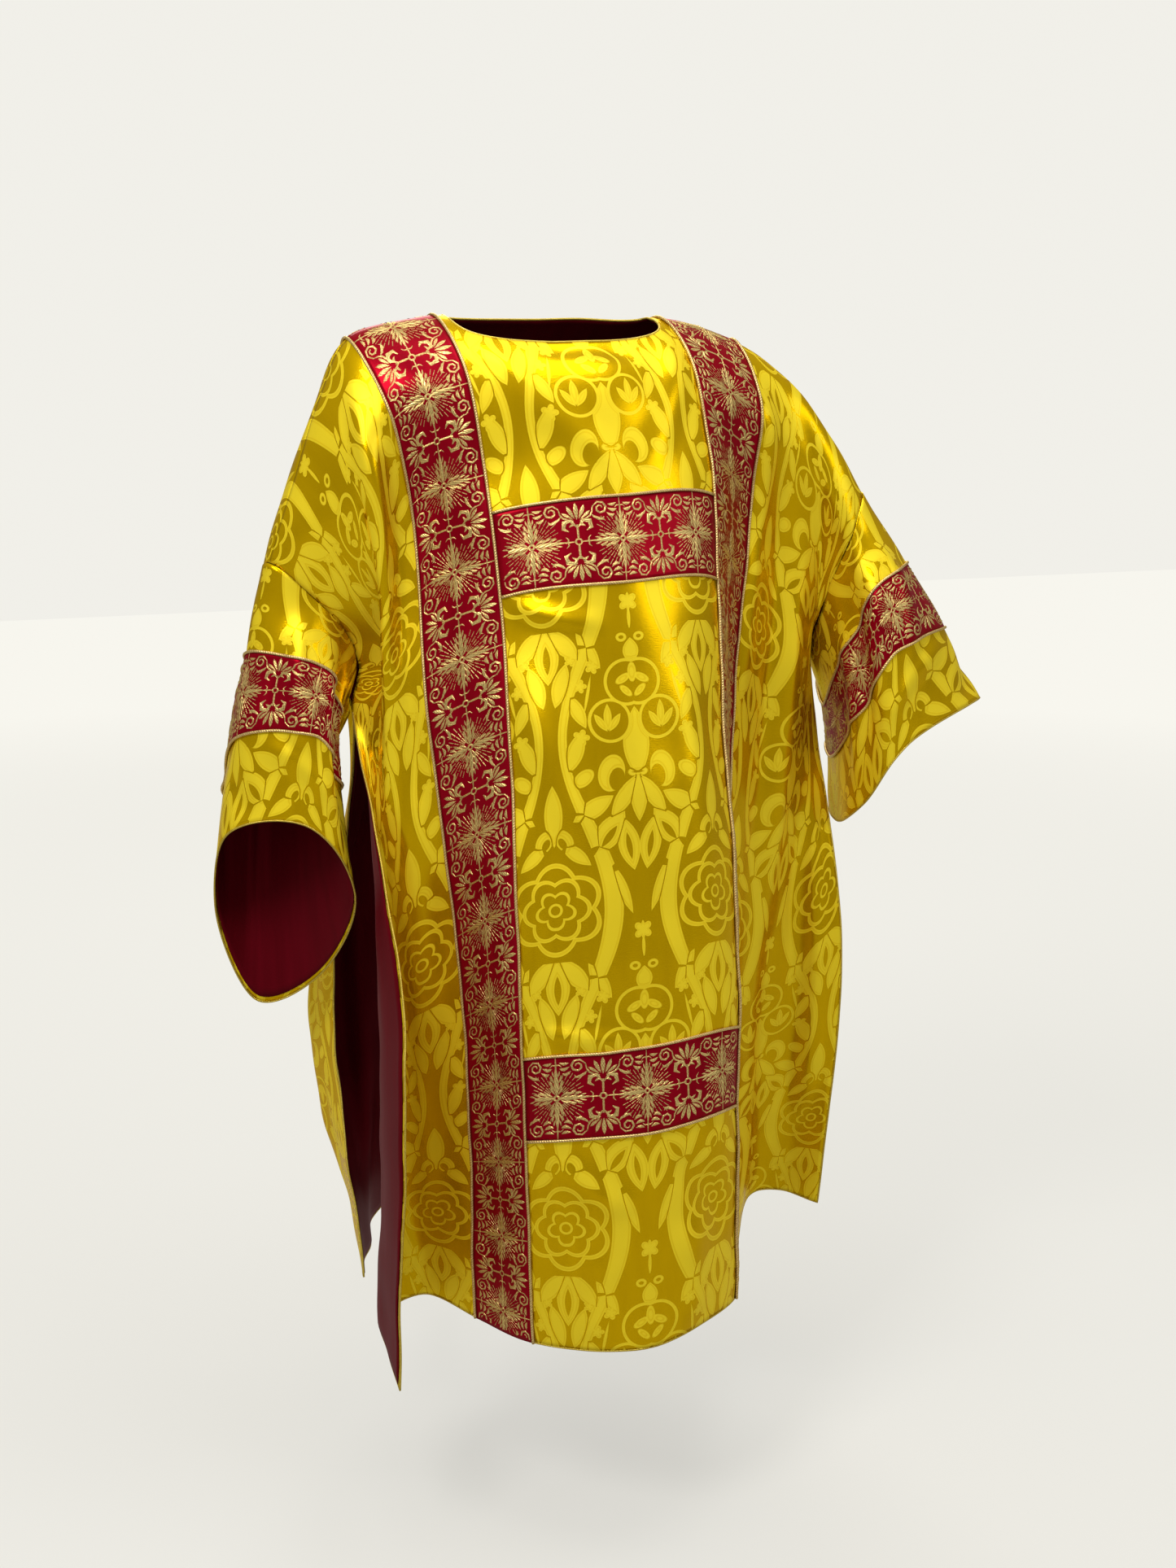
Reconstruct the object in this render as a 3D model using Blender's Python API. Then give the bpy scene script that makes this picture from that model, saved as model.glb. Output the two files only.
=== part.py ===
"""A dalmatic as it hangs on a standing wearer: front, back, two closed sleeves, linings and satin bands.

The cloth is one continuous sheet over the shoulders. A point of it is named by its place in the flat cut: across,
the distance from the middle towards the wearer's left, and down, the distance from the shoulder line towards the
front hem (negative towards the back hem). The tables below say where each vertical line of the cut hangs, at six
levels, and every piece of cloth is a wall laid on that sheet.

Metres, +Z up. The front faces -Y and the wearer's left is +X. The origin is the middle of the neck opening at
shoulder height, where the wearer holds the garment up.
"""

import math
from collections import namedtuple

import bmesh
import bpy
from mathutils import Vector

# The flat cut
LENGTH = 1.25  # shoulder line to hem
HALF_WIDTH = 0.50  # middle of the panel to the armhole
ARMHOLE = 0.44  # shoulder line to underarm
SLEEVE_LENGTH = 0.315  # armhole to cuff
BAND_WIDTH = 0.10
BAND_INNER = 0.14  # middle of the panel to the near edge of a vertical band
BAND_OUTER = BAND_INNER + BAND_WIDTH
FRONT_CROSS_BANDS = {"orphrey_front_chest": 0.265, "orphrey_front_lower": 0.895}
BACK_CROSS_BANDS = {"orphrey_back_upper": 0.265, "orphrey_back_lower": 0.895}
SLEEVE_BAND_START = 0.11 / SLEEVE_LENGTH  # share of the sleeve's length
SLEEVE_BAND_END = SLEEVE_BAND_START + BAND_WIDTH / SLEEVE_LENGTH

# The walls, measured outwards from the sheet
CLOTH = (0.0, 0.0015)
LINING = (-0.0015, -0.0005)
BAND = (0.0018, 0.0028)
SEAM = 0.0003  # half the gap between two pieces at a seam
UNDERARM_EASE = 0.004  # how far the underarm corner of a sleeve hangs clear of the panels
EASE_FROM = 0.45  # share of the armhole's depth where that ease starts
EASE_OVER = 0.2  # share of the depth over which it grows to its full size
UNDERARM_OPEN = 0.008 / SLEEVE_LENGTH  # how far the sleeve's seam stands open there
EDGE_MARGIN = 0.004  # how far a lining stays back from the free edges of the cloth
SEAM_SHARE = SEAM / SLEEVE_LENGTH
MARGIN_SHARE = EDGE_MARGIN / SLEEVE_LENGTH

# The levels at which the tables give the hang, as distances down from the shoulder line
LEVELS = (0.0, 0.10, 0.22, 0.44, 0.80, LENGTH)

Column = namedtuple("Column", "across shoulder collar chest underarm knee hem")

# Front: where each vertical line of the cut hangs. All places are (x, y, z) but the knee's: the cloth falls its own
# length from the underarm to the knee, so that place is (x, y).
FRONT = (
    Column(-0.50, (-0.337, 0.012, -0.280), (-0.278, -0.006, -0.330), (-0.236, 0.018, -0.388),
           (-0.241, 0.012, -0.460), (-0.246, -0.188), (-0.271, -0.235, -1.205)),
    Column(-0.44, (-0.318, 0.008, -0.222), (-0.262, -0.034, -0.280), (-0.198, -0.020, -0.365),
           (-0.224, -0.006, -0.464), (-0.252, -0.128), (-0.262, -0.160, -1.195)),
    Column(-0.38, (-0.300, 0.004, -0.165), (-0.258, -0.050, -0.235), (-0.206, -0.042, -0.335),
           (-0.221, -0.032, -0.466), (-0.236, -0.078), (-0.250, -0.088, -1.185)),
    Column(-0.31, (-0.272, 0.002, -0.090), (-0.250, -0.060, -0.165), (-0.230, -0.062, -0.282),
           (-0.222, -0.058, -0.470), (-0.196, -0.062), (-0.188, -0.068, -1.172)),
    Column(-0.24, (-0.240, 0.000, -0.030), (-0.215, -0.066, -0.100), (-0.184, -0.048, -0.215),
           (-0.177, -0.078, -0.432), (-0.149, -0.119), (-0.144, -0.135, -1.182)),
    Column(-0.14, (-0.140, 0.000, -0.004), (-0.128, -0.080, -0.060), (-0.112, -0.104, -0.178),
           (-0.104, -0.147, -0.385), (-0.112, -0.212), (-0.098, -0.216, -1.185)),
    Column(0.0, (0.0, 0.000, 0.000), (0.022, -0.086, -0.050), (0.030, -0.132, -0.160),
           (0.028, -0.195, -0.370), (0.020, -0.258), (0.014, -0.300, -1.172)),
    Column(0.14, (0.140, 0.000, -0.004), (0.152, -0.070, -0.055), (0.165, -0.098, -0.165),
           (0.159, -0.145, -0.378), (0.153, -0.217), (0.154, -0.225, -1.168)),
    Column(0.24, (0.240, 0.000, -0.030), (0.254, -0.048, -0.098), (0.253, -0.030, -0.215),
           (0.218, -0.060, -0.435), (0.187, -0.123), (0.192, -0.128, -1.185)),
    Column(0.32, (0.300, -0.004, -0.068), (0.312, -0.030, -0.145), (0.312, -0.010, -0.262),
           (0.286, -0.022, -0.470), (0.240, -0.044), (0.240, -0.052, -1.180)),
    Column(0.38, (0.340, -0.008, -0.108), (0.348, -0.030, -0.182), (0.352, -0.006, -0.292),
           (0.340, 0.002, -0.475), (0.296, -0.004), (0.298, 0.040, -1.160)),
    Column(0.44, (0.378, -0.012, -0.158), (0.370, -0.040, -0.222), (0.368, 0.000, -0.318),
           (0.364, 0.024, -0.462), (0.352, -0.002), (0.344, 0.034, -1.155)),
    Column(0.50, (0.412, -0.016, -0.216), (0.388, -0.044, -0.262), (0.376, -0.004, -0.340),
           (0.378, 0.048, -0.430), (0.402, -0.012), (0.380, -0.008, -1.162)),
)

# Back: the same, from the shoulder line to the back hem.
BACK = (
    Column(-0.50, (-0.337, 0.012, -0.280), (-0.322, 0.090, -0.325), (-0.262, 0.108, -0.385),
           (-0.241, 0.016, -0.460), (-0.254, 0.092), (-0.246, 0.000, -1.170)),
    Column(-0.42, (-0.313, 0.010, -0.203), (-0.300, 0.088, -0.255), (-0.250, 0.128, -0.345),
           (-0.200, 0.082, -0.485), (-0.258, 0.150), (-0.224, 0.085, -1.190)),
    Column(-0.34, (-0.284, 0.006, -0.125), (-0.274, 0.085, -0.180), (-0.238, 0.130, -0.290),
           (-0.218, 0.122, -0.485), (-0.228, 0.200), (-0.196, 0.165, -1.205)),
    Column(-0.24, (-0.240, 0.000, -0.030), (-0.228, 0.084, -0.085), (-0.200, 0.120, -0.200),
           (-0.184, 0.142, -0.410), (-0.160, 0.182), (-0.164, 0.258, -1.205)),
    Column(-0.14, (-0.140, 0.000, -0.004), (-0.132, 0.086, -0.054), (-0.120, 0.128, -0.164),
           (-0.110, 0.156, -0.375), (-0.092, 0.230), (-0.092, 0.318, -1.195)),
    Column(0.0, (0.0, 0.000, 0.000), (0.002, 0.086, -0.050), (0.004, 0.128, -0.160),
           (0.006, 0.150, -0.370), (0.012, 0.190), (0.016, 0.262, -1.205)),
    Column(0.14, (0.140, 0.000, -0.004), (0.136, 0.086, -0.054), (0.128, 0.126, -0.164),
           (0.124, 0.156, -0.375), (0.116, 0.230), (0.124, 0.316, -1.195)),
    Column(0.24, (0.240, 0.000, -0.030), (0.236, 0.082, -0.086), (0.220, 0.112, -0.202),
           (0.206, 0.132, -0.415), (0.192, 0.176), (0.206, 0.262, -1.205)),
    Column(0.34, (0.314, -0.005, -0.081), (0.310, 0.074, -0.140), (0.298, 0.106, -0.255),
           (0.272, 0.114, -0.465), (0.264, 0.156), (0.258, 0.196, -1.190)),
    Column(0.42, (0.365, -0.010, -0.140), (0.356, 0.070, -0.200), (0.336, 0.104, -0.305),
           (0.318, 0.088, -0.455), (0.326, 0.140), (0.308, 0.150, -1.170)),
    Column(0.50, (0.412, -0.016, -0.216), (0.402, 0.062, -0.266), (0.372, 0.096, -0.345),
           (0.378, 0.052, -0.430), (0.372, 0.098), (0.366, 0.106, -1.160)),
)

Ring = namedtuple("Ring", "around half_way cuff")

# Sleeves: around is 0 at the shoulder line, 1 at the underarm seam, and negative behind the arm.
SLEEVE_RIGHT = (
    Ring(-0.67, (-0.326, 0.120, -0.575), (-0.348, 0.104, -0.830)),
    Ring(-0.33, (-0.358, 0.102, -0.490), (-0.398, 0.088, -0.705)),
    Ring(0.0, (-0.370, 0.014, -0.428), (-0.396, 0.000, -0.592)),
    Ring(0.33, (-0.290, -0.040, -0.432), (-0.314, -0.050, -0.580)),
    Ring(0.67, (-0.280, -0.022, -0.492), (-0.258, -0.040, -0.668)),
    Ring(1.0, (-0.288, 0.044, -0.580), (-0.276, 0.050, -0.785)),
)
SLEEVE_LEFT = (
    Ring(-0.67, (0.438, 0.110, -0.500), (0.450, 0.104, -0.625)),
    Ring(-0.33, (0.474, 0.084, -0.390), (0.532, 0.070, -0.540)),
    Ring(0.0, (0.502, -0.026, -0.346), (0.582, -0.037, -0.484)),
    Ring(0.33, (0.412, -0.088, -0.362), (0.446, -0.100, -0.523)),
    Ring(0.67, (0.394, -0.038, -0.458), (0.404, -0.062, -0.606)),
    Ring(1.0, (0.412, 0.048, -0.525), (0.416, 0.030, -0.648)),
)

# The neck opening, as (across, depth below the shoulder line in front, behind)
NECK = ((0.0, 0.072, 0.030), (0.100, 0.070, 0.028), (0.118, 0.048, 0.018), (0.128, 0.0, 0.0))
NECK_EASE = 0.18  # the rows of the cut are level again this far down

# The lines of the cut on which every wall has its points
ACROSS = (0.0, 0.05, 0.100, 0.118, 0.128, 0.14, 0.19, 0.24, 0.275, 0.31, 0.345, 0.38, 0.42, 0.46, 0.50)
DOWN = (0.0, 0.035, 0.075, 0.12, 0.17, 0.22, 0.265, 0.315, 0.365, 0.44, 0.49, 0.545, 0.61, 0.70, 0.80, 0.895,
        0.945, 0.995, 1.08, 1.165, LENGTH)
LINING_COLUMNS = (*ACROSS[:-1], HALF_WIDTH - EDGE_MARGIN)
LINING_ROWS = (EDGE_MARGIN, *DOWN[1:-1], LENGTH - EDGE_MARGIN)
PANEL_COLUMNS = (*LINING_COLUMNS, HALF_WIDTH - SEAM)
PANEL_ROWS = (SEAM, *LINING_ROWS, LENGTH)
QUARTER = tuple(line / ARMHOLE for line in DOWN if line <= ARMHOLE)
AROUND = (*(-turn for turn in QUARTER[:0:-1]), *QUARTER)
ALONG = (0.0, 0.17, SLEEVE_BAND_START, 0.5 * (SLEEVE_BAND_START + SLEEVE_BAND_END), SLEEVE_BAND_END, 0.83, 1.0)
SLEEVE_LINING_ROWS = (MARGIN_SHARE, *ALONG[1:-1], 1 - MARGIN_SHARE)
SLEEVE_ROWS = (SEAM_SHARE, *SLEEVE_LINING_ROWS, 1.0)

GOLD_DAMASK = ((0.80, 0.62, 0.05, 1.0), 0.38, 0.0)
RED_SATIN = ((0.42, 0.01, 0.03, 1.0), 0.42, 0.0)
DARK_RED_LINING = ((0.12, 0.005, 0.015, 1.0), 0.60, 0.0)


def slopes(knots, values):
    """Finite-difference slopes for a smooth curve through the values at uneven knots."""
    last = len(knots) - 1
    steps = [(values[i + 1] - values[i]) / (knots[i + 1] - knots[i]) for i in range(last)]
    inner = []
    for i in range(1, last):
        before = knots[i] - knots[i - 1]
        after = knots[i + 1] - knots[i]
        inner.append((steps[i - 1] * after + steps[i] * before) / (before + after))
    return [steps[0], *inner, steps[-1]]


def curve(knots, values, at):
    """The point at a parameter on the smooth curve through the values."""
    i = 0
    while i < len(knots) - 2 and at > knots[i + 1]:
        i += 1
    width = knots[i + 1] - knots[i]
    t = (at - knots[i]) / width
    slope = slopes(knots, values)
    return (
        values[i] * (1 + 2 * t) * (1 - t) ** 2
        + slope[i] * width * t * (1 - t) ** 2
        + values[i + 1] * t * t * (3 - 2 * t)
        - slope[i + 1] * width * t * t * (1 - t)
    )


def hung(column):
    """A column's six places as vectors: below the underarm the cloth falls by what its length leaves."""
    places = [Vector(p) for p in (column.shoulder, column.collar, column.chest, column.underarm)]
    above = places[-1]
    length = LEVELS[4] - LEVELS[3]
    aside = math.hypot(column.knee[0] - above.x, column.knee[1] - above.y)
    knee = Vector((*column.knee, above.z - math.sqrt(length**2 - aside**2)))
    return [*places, knee, Vector(column.hem)]


def panel_tables():
    """For each level of the whole sheet, back hem to front hem: its distance down and its places across."""
    front = [hung(column) for column in FRONT]
    back = [hung(column) for column in BACK]
    rows = [(-LEVELS[i], [c.across for c in BACK], [p[i] for p in back]) for i in range(5, 0, -1)]
    rows += [(LEVELS[i], [c.across for c in FRONT], [p[i] for p in front]) for i in range(6)]
    return rows


SHEET = panel_tables()


def body_point(across, down):
    """The sheet's point at a place of the flat cut of front and back."""
    knots = [row[0] for row in SHEET]
    return curve(knots, [curve(row[1], row[2], across) for row in SHEET], down)


def sleeve_point(side, along, around):
    """The point of a sleeve: along is 0 at the armhole and 1 at the cuff."""
    table = SLEEVE_RIGHT if side < 0 else SLEEVE_LEFT
    seam = table[-1]
    rows = [Ring(seam.around - 2, seam.half_way, seam.cuff), *table]
    rows = [Ring(rows[-2].around - 2, *rows[-2][1:]), *rows, Ring(rows[1].around + 2, *rows[1][1:])]
    knots = [row.around for row in rows]
    half_way = curve(knots, [Vector(row.half_way) for row in rows], around)
    cuff = curve(knots, [Vector(row.cuff) for row in rows], around)
    turn = around - 2 if around > 1 else around + 2 if around < -1 else around
    armhole = body_point(side * HALF_WIDTH, turn * ARMHOLE)
    armhole.x += side * UNDERARM_EASE * min(1.0, max(0.0, abs(turn) - EASE_FROM) / EASE_OVER)
    return curve((0.0, 0.5, 1.0), (armhole, half_way, cuff), along)


def neck_depth(across, behind):
    """How far below the shoulder line the neck opening reaches."""
    depths = [(row[0], row[2] if behind else row[1]) for row in NECK]
    for (near, deep), (far, shallow) in zip(depths, depths[1:]):
        if near <= abs(across) <= far:
            return deep + (shallow - deep) * (abs(across) - near) / (far - near)
    return 0.0


def panel_row(across, row, behind):
    """Where a row of the cut lies in this column: rows bend down under the neck opening."""
    top = neck_depth(across, behind)
    return row if row > NECK_EASE else top + row * (1 - top / NECK_EASE)


def laid_grid(point_at, columns, rows, outward, tube=False):
    """The points where these lines of the cut cross, and at each the direction out of the garment.

    outward is 1 or -1, so that the direction comes out on the cloth's right side.
    """
    points = [[point_at(column, row) for row in rows] for column in columns]
    facets = []
    for left, right in zip(points, points[1:]):
        facets.append([
            ((left[j + 1] - right[j]).cross(right[j + 1] - left[j]) * outward).normalized()
            for j in range(len(rows) - 1)
        ])
    corners = {}
    for i in range(len(columns)):
        beside = [i - 1, i] if 0 < i < len(facets) else [-1, 0] if tube else [min(i, len(facets) - 1)]
        for j in range(len(rows)):
            around = [facets[k][m] for k in beside for m in (j - 1, j) if 0 <= m < len(rows) - 1]
            corners[i, j] = (points[i][j], sum(around, Vector()).normalized())
    return corners


def on_facets(corners, columns, rows):
    """The place function of everything that lies on this grid, flat between its lines."""
    def share(lines, at):
        i = max(k for k in range(len(lines) - 1) if k == 0 or lines[k] <= at)
        return i, (at - lines[i]) / (lines[i + 1] - lines[i])

    def place(column, row):
        i, t = share(columns, column)
        j, u = share(rows, row)
        near = [corners[i, j][k].lerp(corners[i + 1, j][k], t) for k in (0, 1)]
        far = [corners[i, j + 1][k].lerp(corners[i + 1, j + 1][k], t) for k in (0, 1)]
        return [near[k].lerp(far[k], u) for k in (0, 1)]

    return place


def make_material(name, look):
    """A plain Principled material."""
    colour, roughness, metallic = look
    material = bpy.data.materials.new(name)
    material.use_nodes = True
    shader = material.node_tree.nodes["Principled BSDF"]
    shader.inputs["Base Color"].default_value = colour
    shader.inputs["Roughness"].default_value = roughness
    shader.inputs["Metallic"].default_value = metallic
    return material


def wall(name, columns, rows, place, layer, material, tube=False):
    """A closed wall of cloth: a grid over the lines of the cut, laid out at the two distances of its layer.

    place gives the point and the outward direction for a column and a row. A tube's last column is its first.
    """
    bm = bmesh.new()
    last_column = len(columns) - 1
    last_row = len(rows) - 1
    bmesh.ops.create_grid(bm, x_segments=last_column, y_segments=last_row, size=1.0)
    bmesh.ops.triangulate(bm, faces=bm.faces[:], quad_method="FIXED")
    column_of = bm.verts.layers.int.new("column")
    row_of = bm.verts.layers.int.new("row")
    for vert in bm.verts:
        vert[column_of] = round((vert.co.x + 1) / 2 * last_column)
        vert[row_of] = round((vert.co.y + 1) / 2 * last_row)
    if tube:
        for vert in bm.verts:
            turn = 2 * math.pi * vert[column_of] / last_column
            vert.co = (math.cos(turn), math.sin(turn), vert[row_of])
        bmesh.ops.remove_doubles(bm, verts=bm.verts[:], dist=1e-4)
    outer = bm.verts[:]
    made = bmesh.ops.extrude_face_region(bm, geom=bm.faces[:], use_keep_orig=True)
    inner = [item for item in made["geom"] if isinstance(item, bmesh.types.BMVert)]
    for verts, distance in ((outer, layer[1]), (inner, layer[0])):
        for vert in verts:
            point, outward = place(columns[vert[column_of]], rows[vert[row_of]])
            vert.co = point + outward * distance
    bmesh.ops.recalc_face_normals(bm, faces=bm.faces[:])
    if bm.calc_volume(signed=True) < 0:
        bmesh.ops.reverse_faces(bm, faces=bm.faces[:])
    mesh = bpy.data.meshes.new(name)
    bm.to_mesh(mesh)
    bm.free()
    mesh.shade_smooth()
    mesh.materials.append(material)
    made = bpy.data.objects.new(name, mesh)
    COLLECTION.objects.link(made)


def both_sides(lines):
    """The lines of one half of the cut, mirrored to the whole width."""
    return [-line for line in reversed(lines) if line > 0] + list(lines)


def panel_grid(facing):
    """The grid of the front panel (facing 1) or the back panel (-1)."""
    def point_at(across, row):
        return body_point(across, facing * panel_row(across, row, facing < 0))

    return laid_grid(point_at, both_sides(PANEL_COLUMNS), PANEL_ROWS, facing)


def sleeve_grid(side):
    """The grid of one sleeve, whose seam stands a little open in the fold of the armpit."""
    def point_at(turn, along):
        opened = UNDERARM_OPEN * min(1.0, max(0.0, abs(turn) - EASE_FROM) / EASE_OVER)
        return sleeve_point(side, along + opened * (1 - along), turn)

    return laid_grid(point_at, AROUND, SLEEVE_ROWS, -side, tube=True)


def halfway(own, beside):
    """The direction midway between two walls that meet, or a wall's own where they are folded face to face."""
    weight = min(1.0, max(0.0, 1 + 2 * own.dot(beside)))
    return (own + beside * weight).normalized()


def mitre(side, panel, facing, sleeve):
    """Turns the walls of a panel and a sleeve to the middle of their corner, along the seam they share."""
    columns = both_sides(PANEL_COLUMNS)
    panel_place = on_facets(dict(panel), columns, PANEL_ROWS)
    sleeve_place = on_facets(dict(sleeve), AROUND, SLEEVE_ROWS)
    edge = [i for i, column in enumerate(columns) if side * column >= HALF_WIDTH - EDGE_MARGIN]
    for j, row in enumerate(PANEL_ROWS):
        if row <= ARMHOLE:
            beside = sleeve_place(facing * row / ARMHOLE, SEAM_SHARE)[1]
            for i in edge:
                panel[i, j] = (panel[i, j][0], halfway(panel[i, j][1], beside))
    for i, turn in enumerate(AROUND):
        if 0 <= facing * turn or abs(turn) == 1:
            beside = panel_place(side * (HALF_WIDTH - SEAM), max(SEAM, abs(turn) * ARMHOLE))[1]
            for j, along in enumerate(SLEEVE_ROWS):
                if along <= MARGIN_SHARE:
                    sleeve[i, j] = (sleeve[i, j][0], halfway(sleeve[i, j][1], beside))


def add_panel(piece, grid, cross_bands, materials):
    """Front or back panel with its lining, its two vertical bands and the bands that cross between them."""
    gold, lining, red = materials
    place = on_facets(grid, both_sides(PANEL_COLUMNS), PANEL_ROWS)
    wall(f"{piece}_panel", both_sides(PANEL_COLUMNS), PANEL_ROWS, place, CLOTH, gold)
    wall(f"lining_{piece}", both_sides(LINING_COLUMNS), LINING_ROWS, place, LINING, lining)
    strip = [line for line in ACROSS if BAND_INNER <= line <= BAND_OUTER]
    wall(f"orphrey_{piece}_left", strip, PANEL_ROWS, place, BAND, red)
    wall(f"orphrey_{piece}_right", [-line for line in reversed(strip)], PANEL_ROWS, place, BAND, red)
    inner = both_sides([*[line for line in ACROSS if line < BAND_INNER], BAND_INNER - 2 * SEAM])
    for name, start in cross_bands.items():
        rows = [line for line in DOWN if start <= line <= start + BAND_WIDTH + SEAM]
        wall(name, inner, rows, place, BAND, red)


def add_sleeve(side_name, grid, materials):
    """A sleeve as a tube from the armhole to the cuff, with its lining and its band."""
    gold, lining, red = materials
    place = on_facets(grid, AROUND, SLEEVE_ROWS)
    band_rows = [line for line in ALONG if SLEEVE_BAND_START <= line <= SLEEVE_BAND_END]
    wall(f"sleeve_{side_name}", AROUND, SLEEVE_ROWS, place, CLOTH, gold, tube=True)
    wall(f"lining_sleeve_{side_name}", AROUND, SLEEVE_LINING_ROWS, place, LINING, lining, tube=True)
    wall(f"orphrey_sleeve_{side_name}", AROUND, band_rows, place, BAND, red, tube=True)


for leftover in list(bpy.data.objects):
    bpy.data.objects.remove(leftover)
COLLECTION = bpy.data.collections.new("dalmatic")
bpy.context.scene.collection.children.link(COLLECTION)
materials = (
    make_material("gold_damask", GOLD_DAMASK),
    make_material("dark_red_lining", DARK_RED_LINING),
    make_material("red_satin", RED_SATIN),
)
front, back = panel_grid(1), panel_grid(-1)
sleeve_right, sleeve_left = sleeve_grid(-1), sleeve_grid(1)
for side, sleeve in ((-1, sleeve_right), (1, sleeve_left)):
    mitre(side, front, 1, sleeve)
    mitre(side, back, -1, sleeve)
add_panel("front", front, FRONT_CROSS_BANDS, materials)
add_panel("back", back, BACK_CROSS_BANDS, materials)
add_sleeve("right", sleeve_right, materials)
add_sleeve("left", sleeve_left, materials)
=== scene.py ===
"""A dalmatic in gold damask with embroidered red satin bands, hanging as it is worn.

Every cloth lies on one of three sheets: the body, from back hem over the shoulders to front hem, and the two
sleeves. A sheet gives the place in space of each point of the flat cut, and the creases are worked into it,
so cloth, lining, bands, embroidery and cords all follow the same folds. The tables of places and of drawn
shapes are in millimetres. Everything else is in metres.
"""

from __future__ import annotations

import logging
import math
from collections.abc import Callable, Iterable, Sequence
from dataclasses import dataclass, field, replace
from enum import Enum
from functools import partial

import bmesh
import bpy
import numpy as np
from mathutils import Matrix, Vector

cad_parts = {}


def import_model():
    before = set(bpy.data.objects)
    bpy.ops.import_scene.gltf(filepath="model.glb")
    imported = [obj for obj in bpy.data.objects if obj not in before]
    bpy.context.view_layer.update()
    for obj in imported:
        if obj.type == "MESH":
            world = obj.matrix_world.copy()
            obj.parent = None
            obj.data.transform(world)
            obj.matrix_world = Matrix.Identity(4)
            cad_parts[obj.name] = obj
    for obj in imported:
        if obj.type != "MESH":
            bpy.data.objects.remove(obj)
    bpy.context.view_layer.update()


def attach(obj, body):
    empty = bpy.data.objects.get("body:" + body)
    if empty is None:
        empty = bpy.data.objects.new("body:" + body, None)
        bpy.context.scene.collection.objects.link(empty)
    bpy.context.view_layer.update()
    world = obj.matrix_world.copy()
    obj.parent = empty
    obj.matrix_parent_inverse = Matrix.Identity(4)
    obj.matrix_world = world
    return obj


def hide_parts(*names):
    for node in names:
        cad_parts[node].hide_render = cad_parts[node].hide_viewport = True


LOG = logging.getLogger("dalmatic")
BODY = "root"
GOLD_SLOT = "gold_damask"
TINY = 1e-12
SEAM_MERGE, CORD_MERGE = 1e-5, 1e-6
PROBE = 0.01
Place = tuple[float, ...]
Pair = tuple[float, float]
Array = np.ndarray
Colour = tuple[float, float, float, float]
Mesh = bmesh.types.BMesh
Material = bpy.types.Material
Node = bpy.types.Node
NodeTree = bpy.types.NodeTree
Socket = bpy.types.NodeSocket


@dataclass(frozen=True)
class Cut:
    """Sizes of the flat cut, in metres."""

    length: float = 1.25
    half_width: float = 0.50
    armhole: float = 0.44
    sleeve_length: float = 0.315
    sleeve_half_round: float = 0.335
    band: float = 0.10
    band_inner: float = 0.14
    upper_band: float = 0.265
    lower_band: float = 0.895
    sleeve_band: float = 0.11
    neck_half: float = 0.128
    neck_front: float = 0.072
    neck_behind: float = 0.030
    neck_ease: float = 0.18
    panel_area: float = 1.13
    cuff_round: float = 0.74
    sleeve_area: float = 0.19
    seam: float = 0.0003
    underarm_gap: float = 0.004
    lining_back: float = 0.004


CUT = Cut()


class Layer(Enum):
    """Heights of the cloth's outer faces above the sheet, and thicknesses, in metres."""

    CLOTH = (0.0015, 0.0013)
    LINING = (-0.0006, 0.0009)
    BAND = (0.0029, 0.0011)

    @property
    def lift(self) -> float:
        """Height of the outer face."""
        return self.value[0]

    @property
    def thickness(self) -> float:
        """Thickness of the cloth."""
        return self.value[1]


def metres(nest: object) -> object:
    """The same nest of numbers, brought from millimetres to metres."""
    return nest / 1000 if isinstance(nest, (int, float)) else tuple(metres(part) for part in nest)


LEVELS = (0.0, 0.10, 0.22, CUT.armhole, 0.80, CUT.length)

# Where each vertical line of the cut hangs: across, then shoulder, collar, chest, underarm, knee and hem
Column = tuple[float, Place, Place, Place, Place, Place, Place]
FRONT: tuple[Column, ...] = metres((
    (-500, (-337, 12, -280), (-278, -6, -330), (-236, 18, -388),
     (-241, 12, -460), (-246, -188), (-271, -235, -1205)),
    (-440, (-318, 8, -222), (-262, -34, -280), (-198, -20, -365),
     (-224, -6, -464), (-252, -128), (-262, -160, -1195)),
    (-380, (-300, 4, -165), (-258, -50, -235), (-206, -42, -335),
     (-221, -32, -466), (-236, -78), (-250, -88, -1185)),
    (-310, (-272, 2, -90), (-250, -60, -165), (-230, -62, -282),
     (-222, -58, -470), (-196, -62), (-188, -68, -1172)),
    (-240, (-240, 0, -30), (-215, -66, -100), (-184, -48, -215),
     (-177, -78, -432), (-149, -119), (-144, -135, -1182)),
    (-140, (-140, 0, -4), (-128, -80, -60), (-112, -104, -178),
     (-104, -147, -385), (-112, -212), (-98, -216, -1185)),
    (0, (0, 0, 0), (22, -86, -50), (30, -132, -160),
     (28, -195, -370), (20, -258), (14, -300, -1172)),
    (140, (140, 0, -4), (152, -70, -55), (165, -98, -165),
     (159, -145, -378), (153, -217), (154, -225, -1168)),
    (240, (240, 0, -30), (254, -48, -98), (253, -30, -215),
     (218, -60, -435), (187, -123), (192, -128, -1185)),
    (320, (300, -4, -68), (312, -30, -145), (312, -10, -262),
     (286, -22, -470), (240, -44), (240, -52, -1180)),
    (380, (340, -8, -108), (348, -30, -182), (352, -6, -292),
     (340, 2, -475), (296, -4), (298, 40, -1160)),
    (440, (378, -12, -158), (370, -40, -222), (368, 0, -318),
     (364, 24, -462), (352, -2), (344, 34, -1155)),
    (500, (412, -16, -216), (388, -44, -262), (376, -4, -340),
     (378, 48, -430), (402, -12), (380, -8, -1162)),
))
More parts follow.
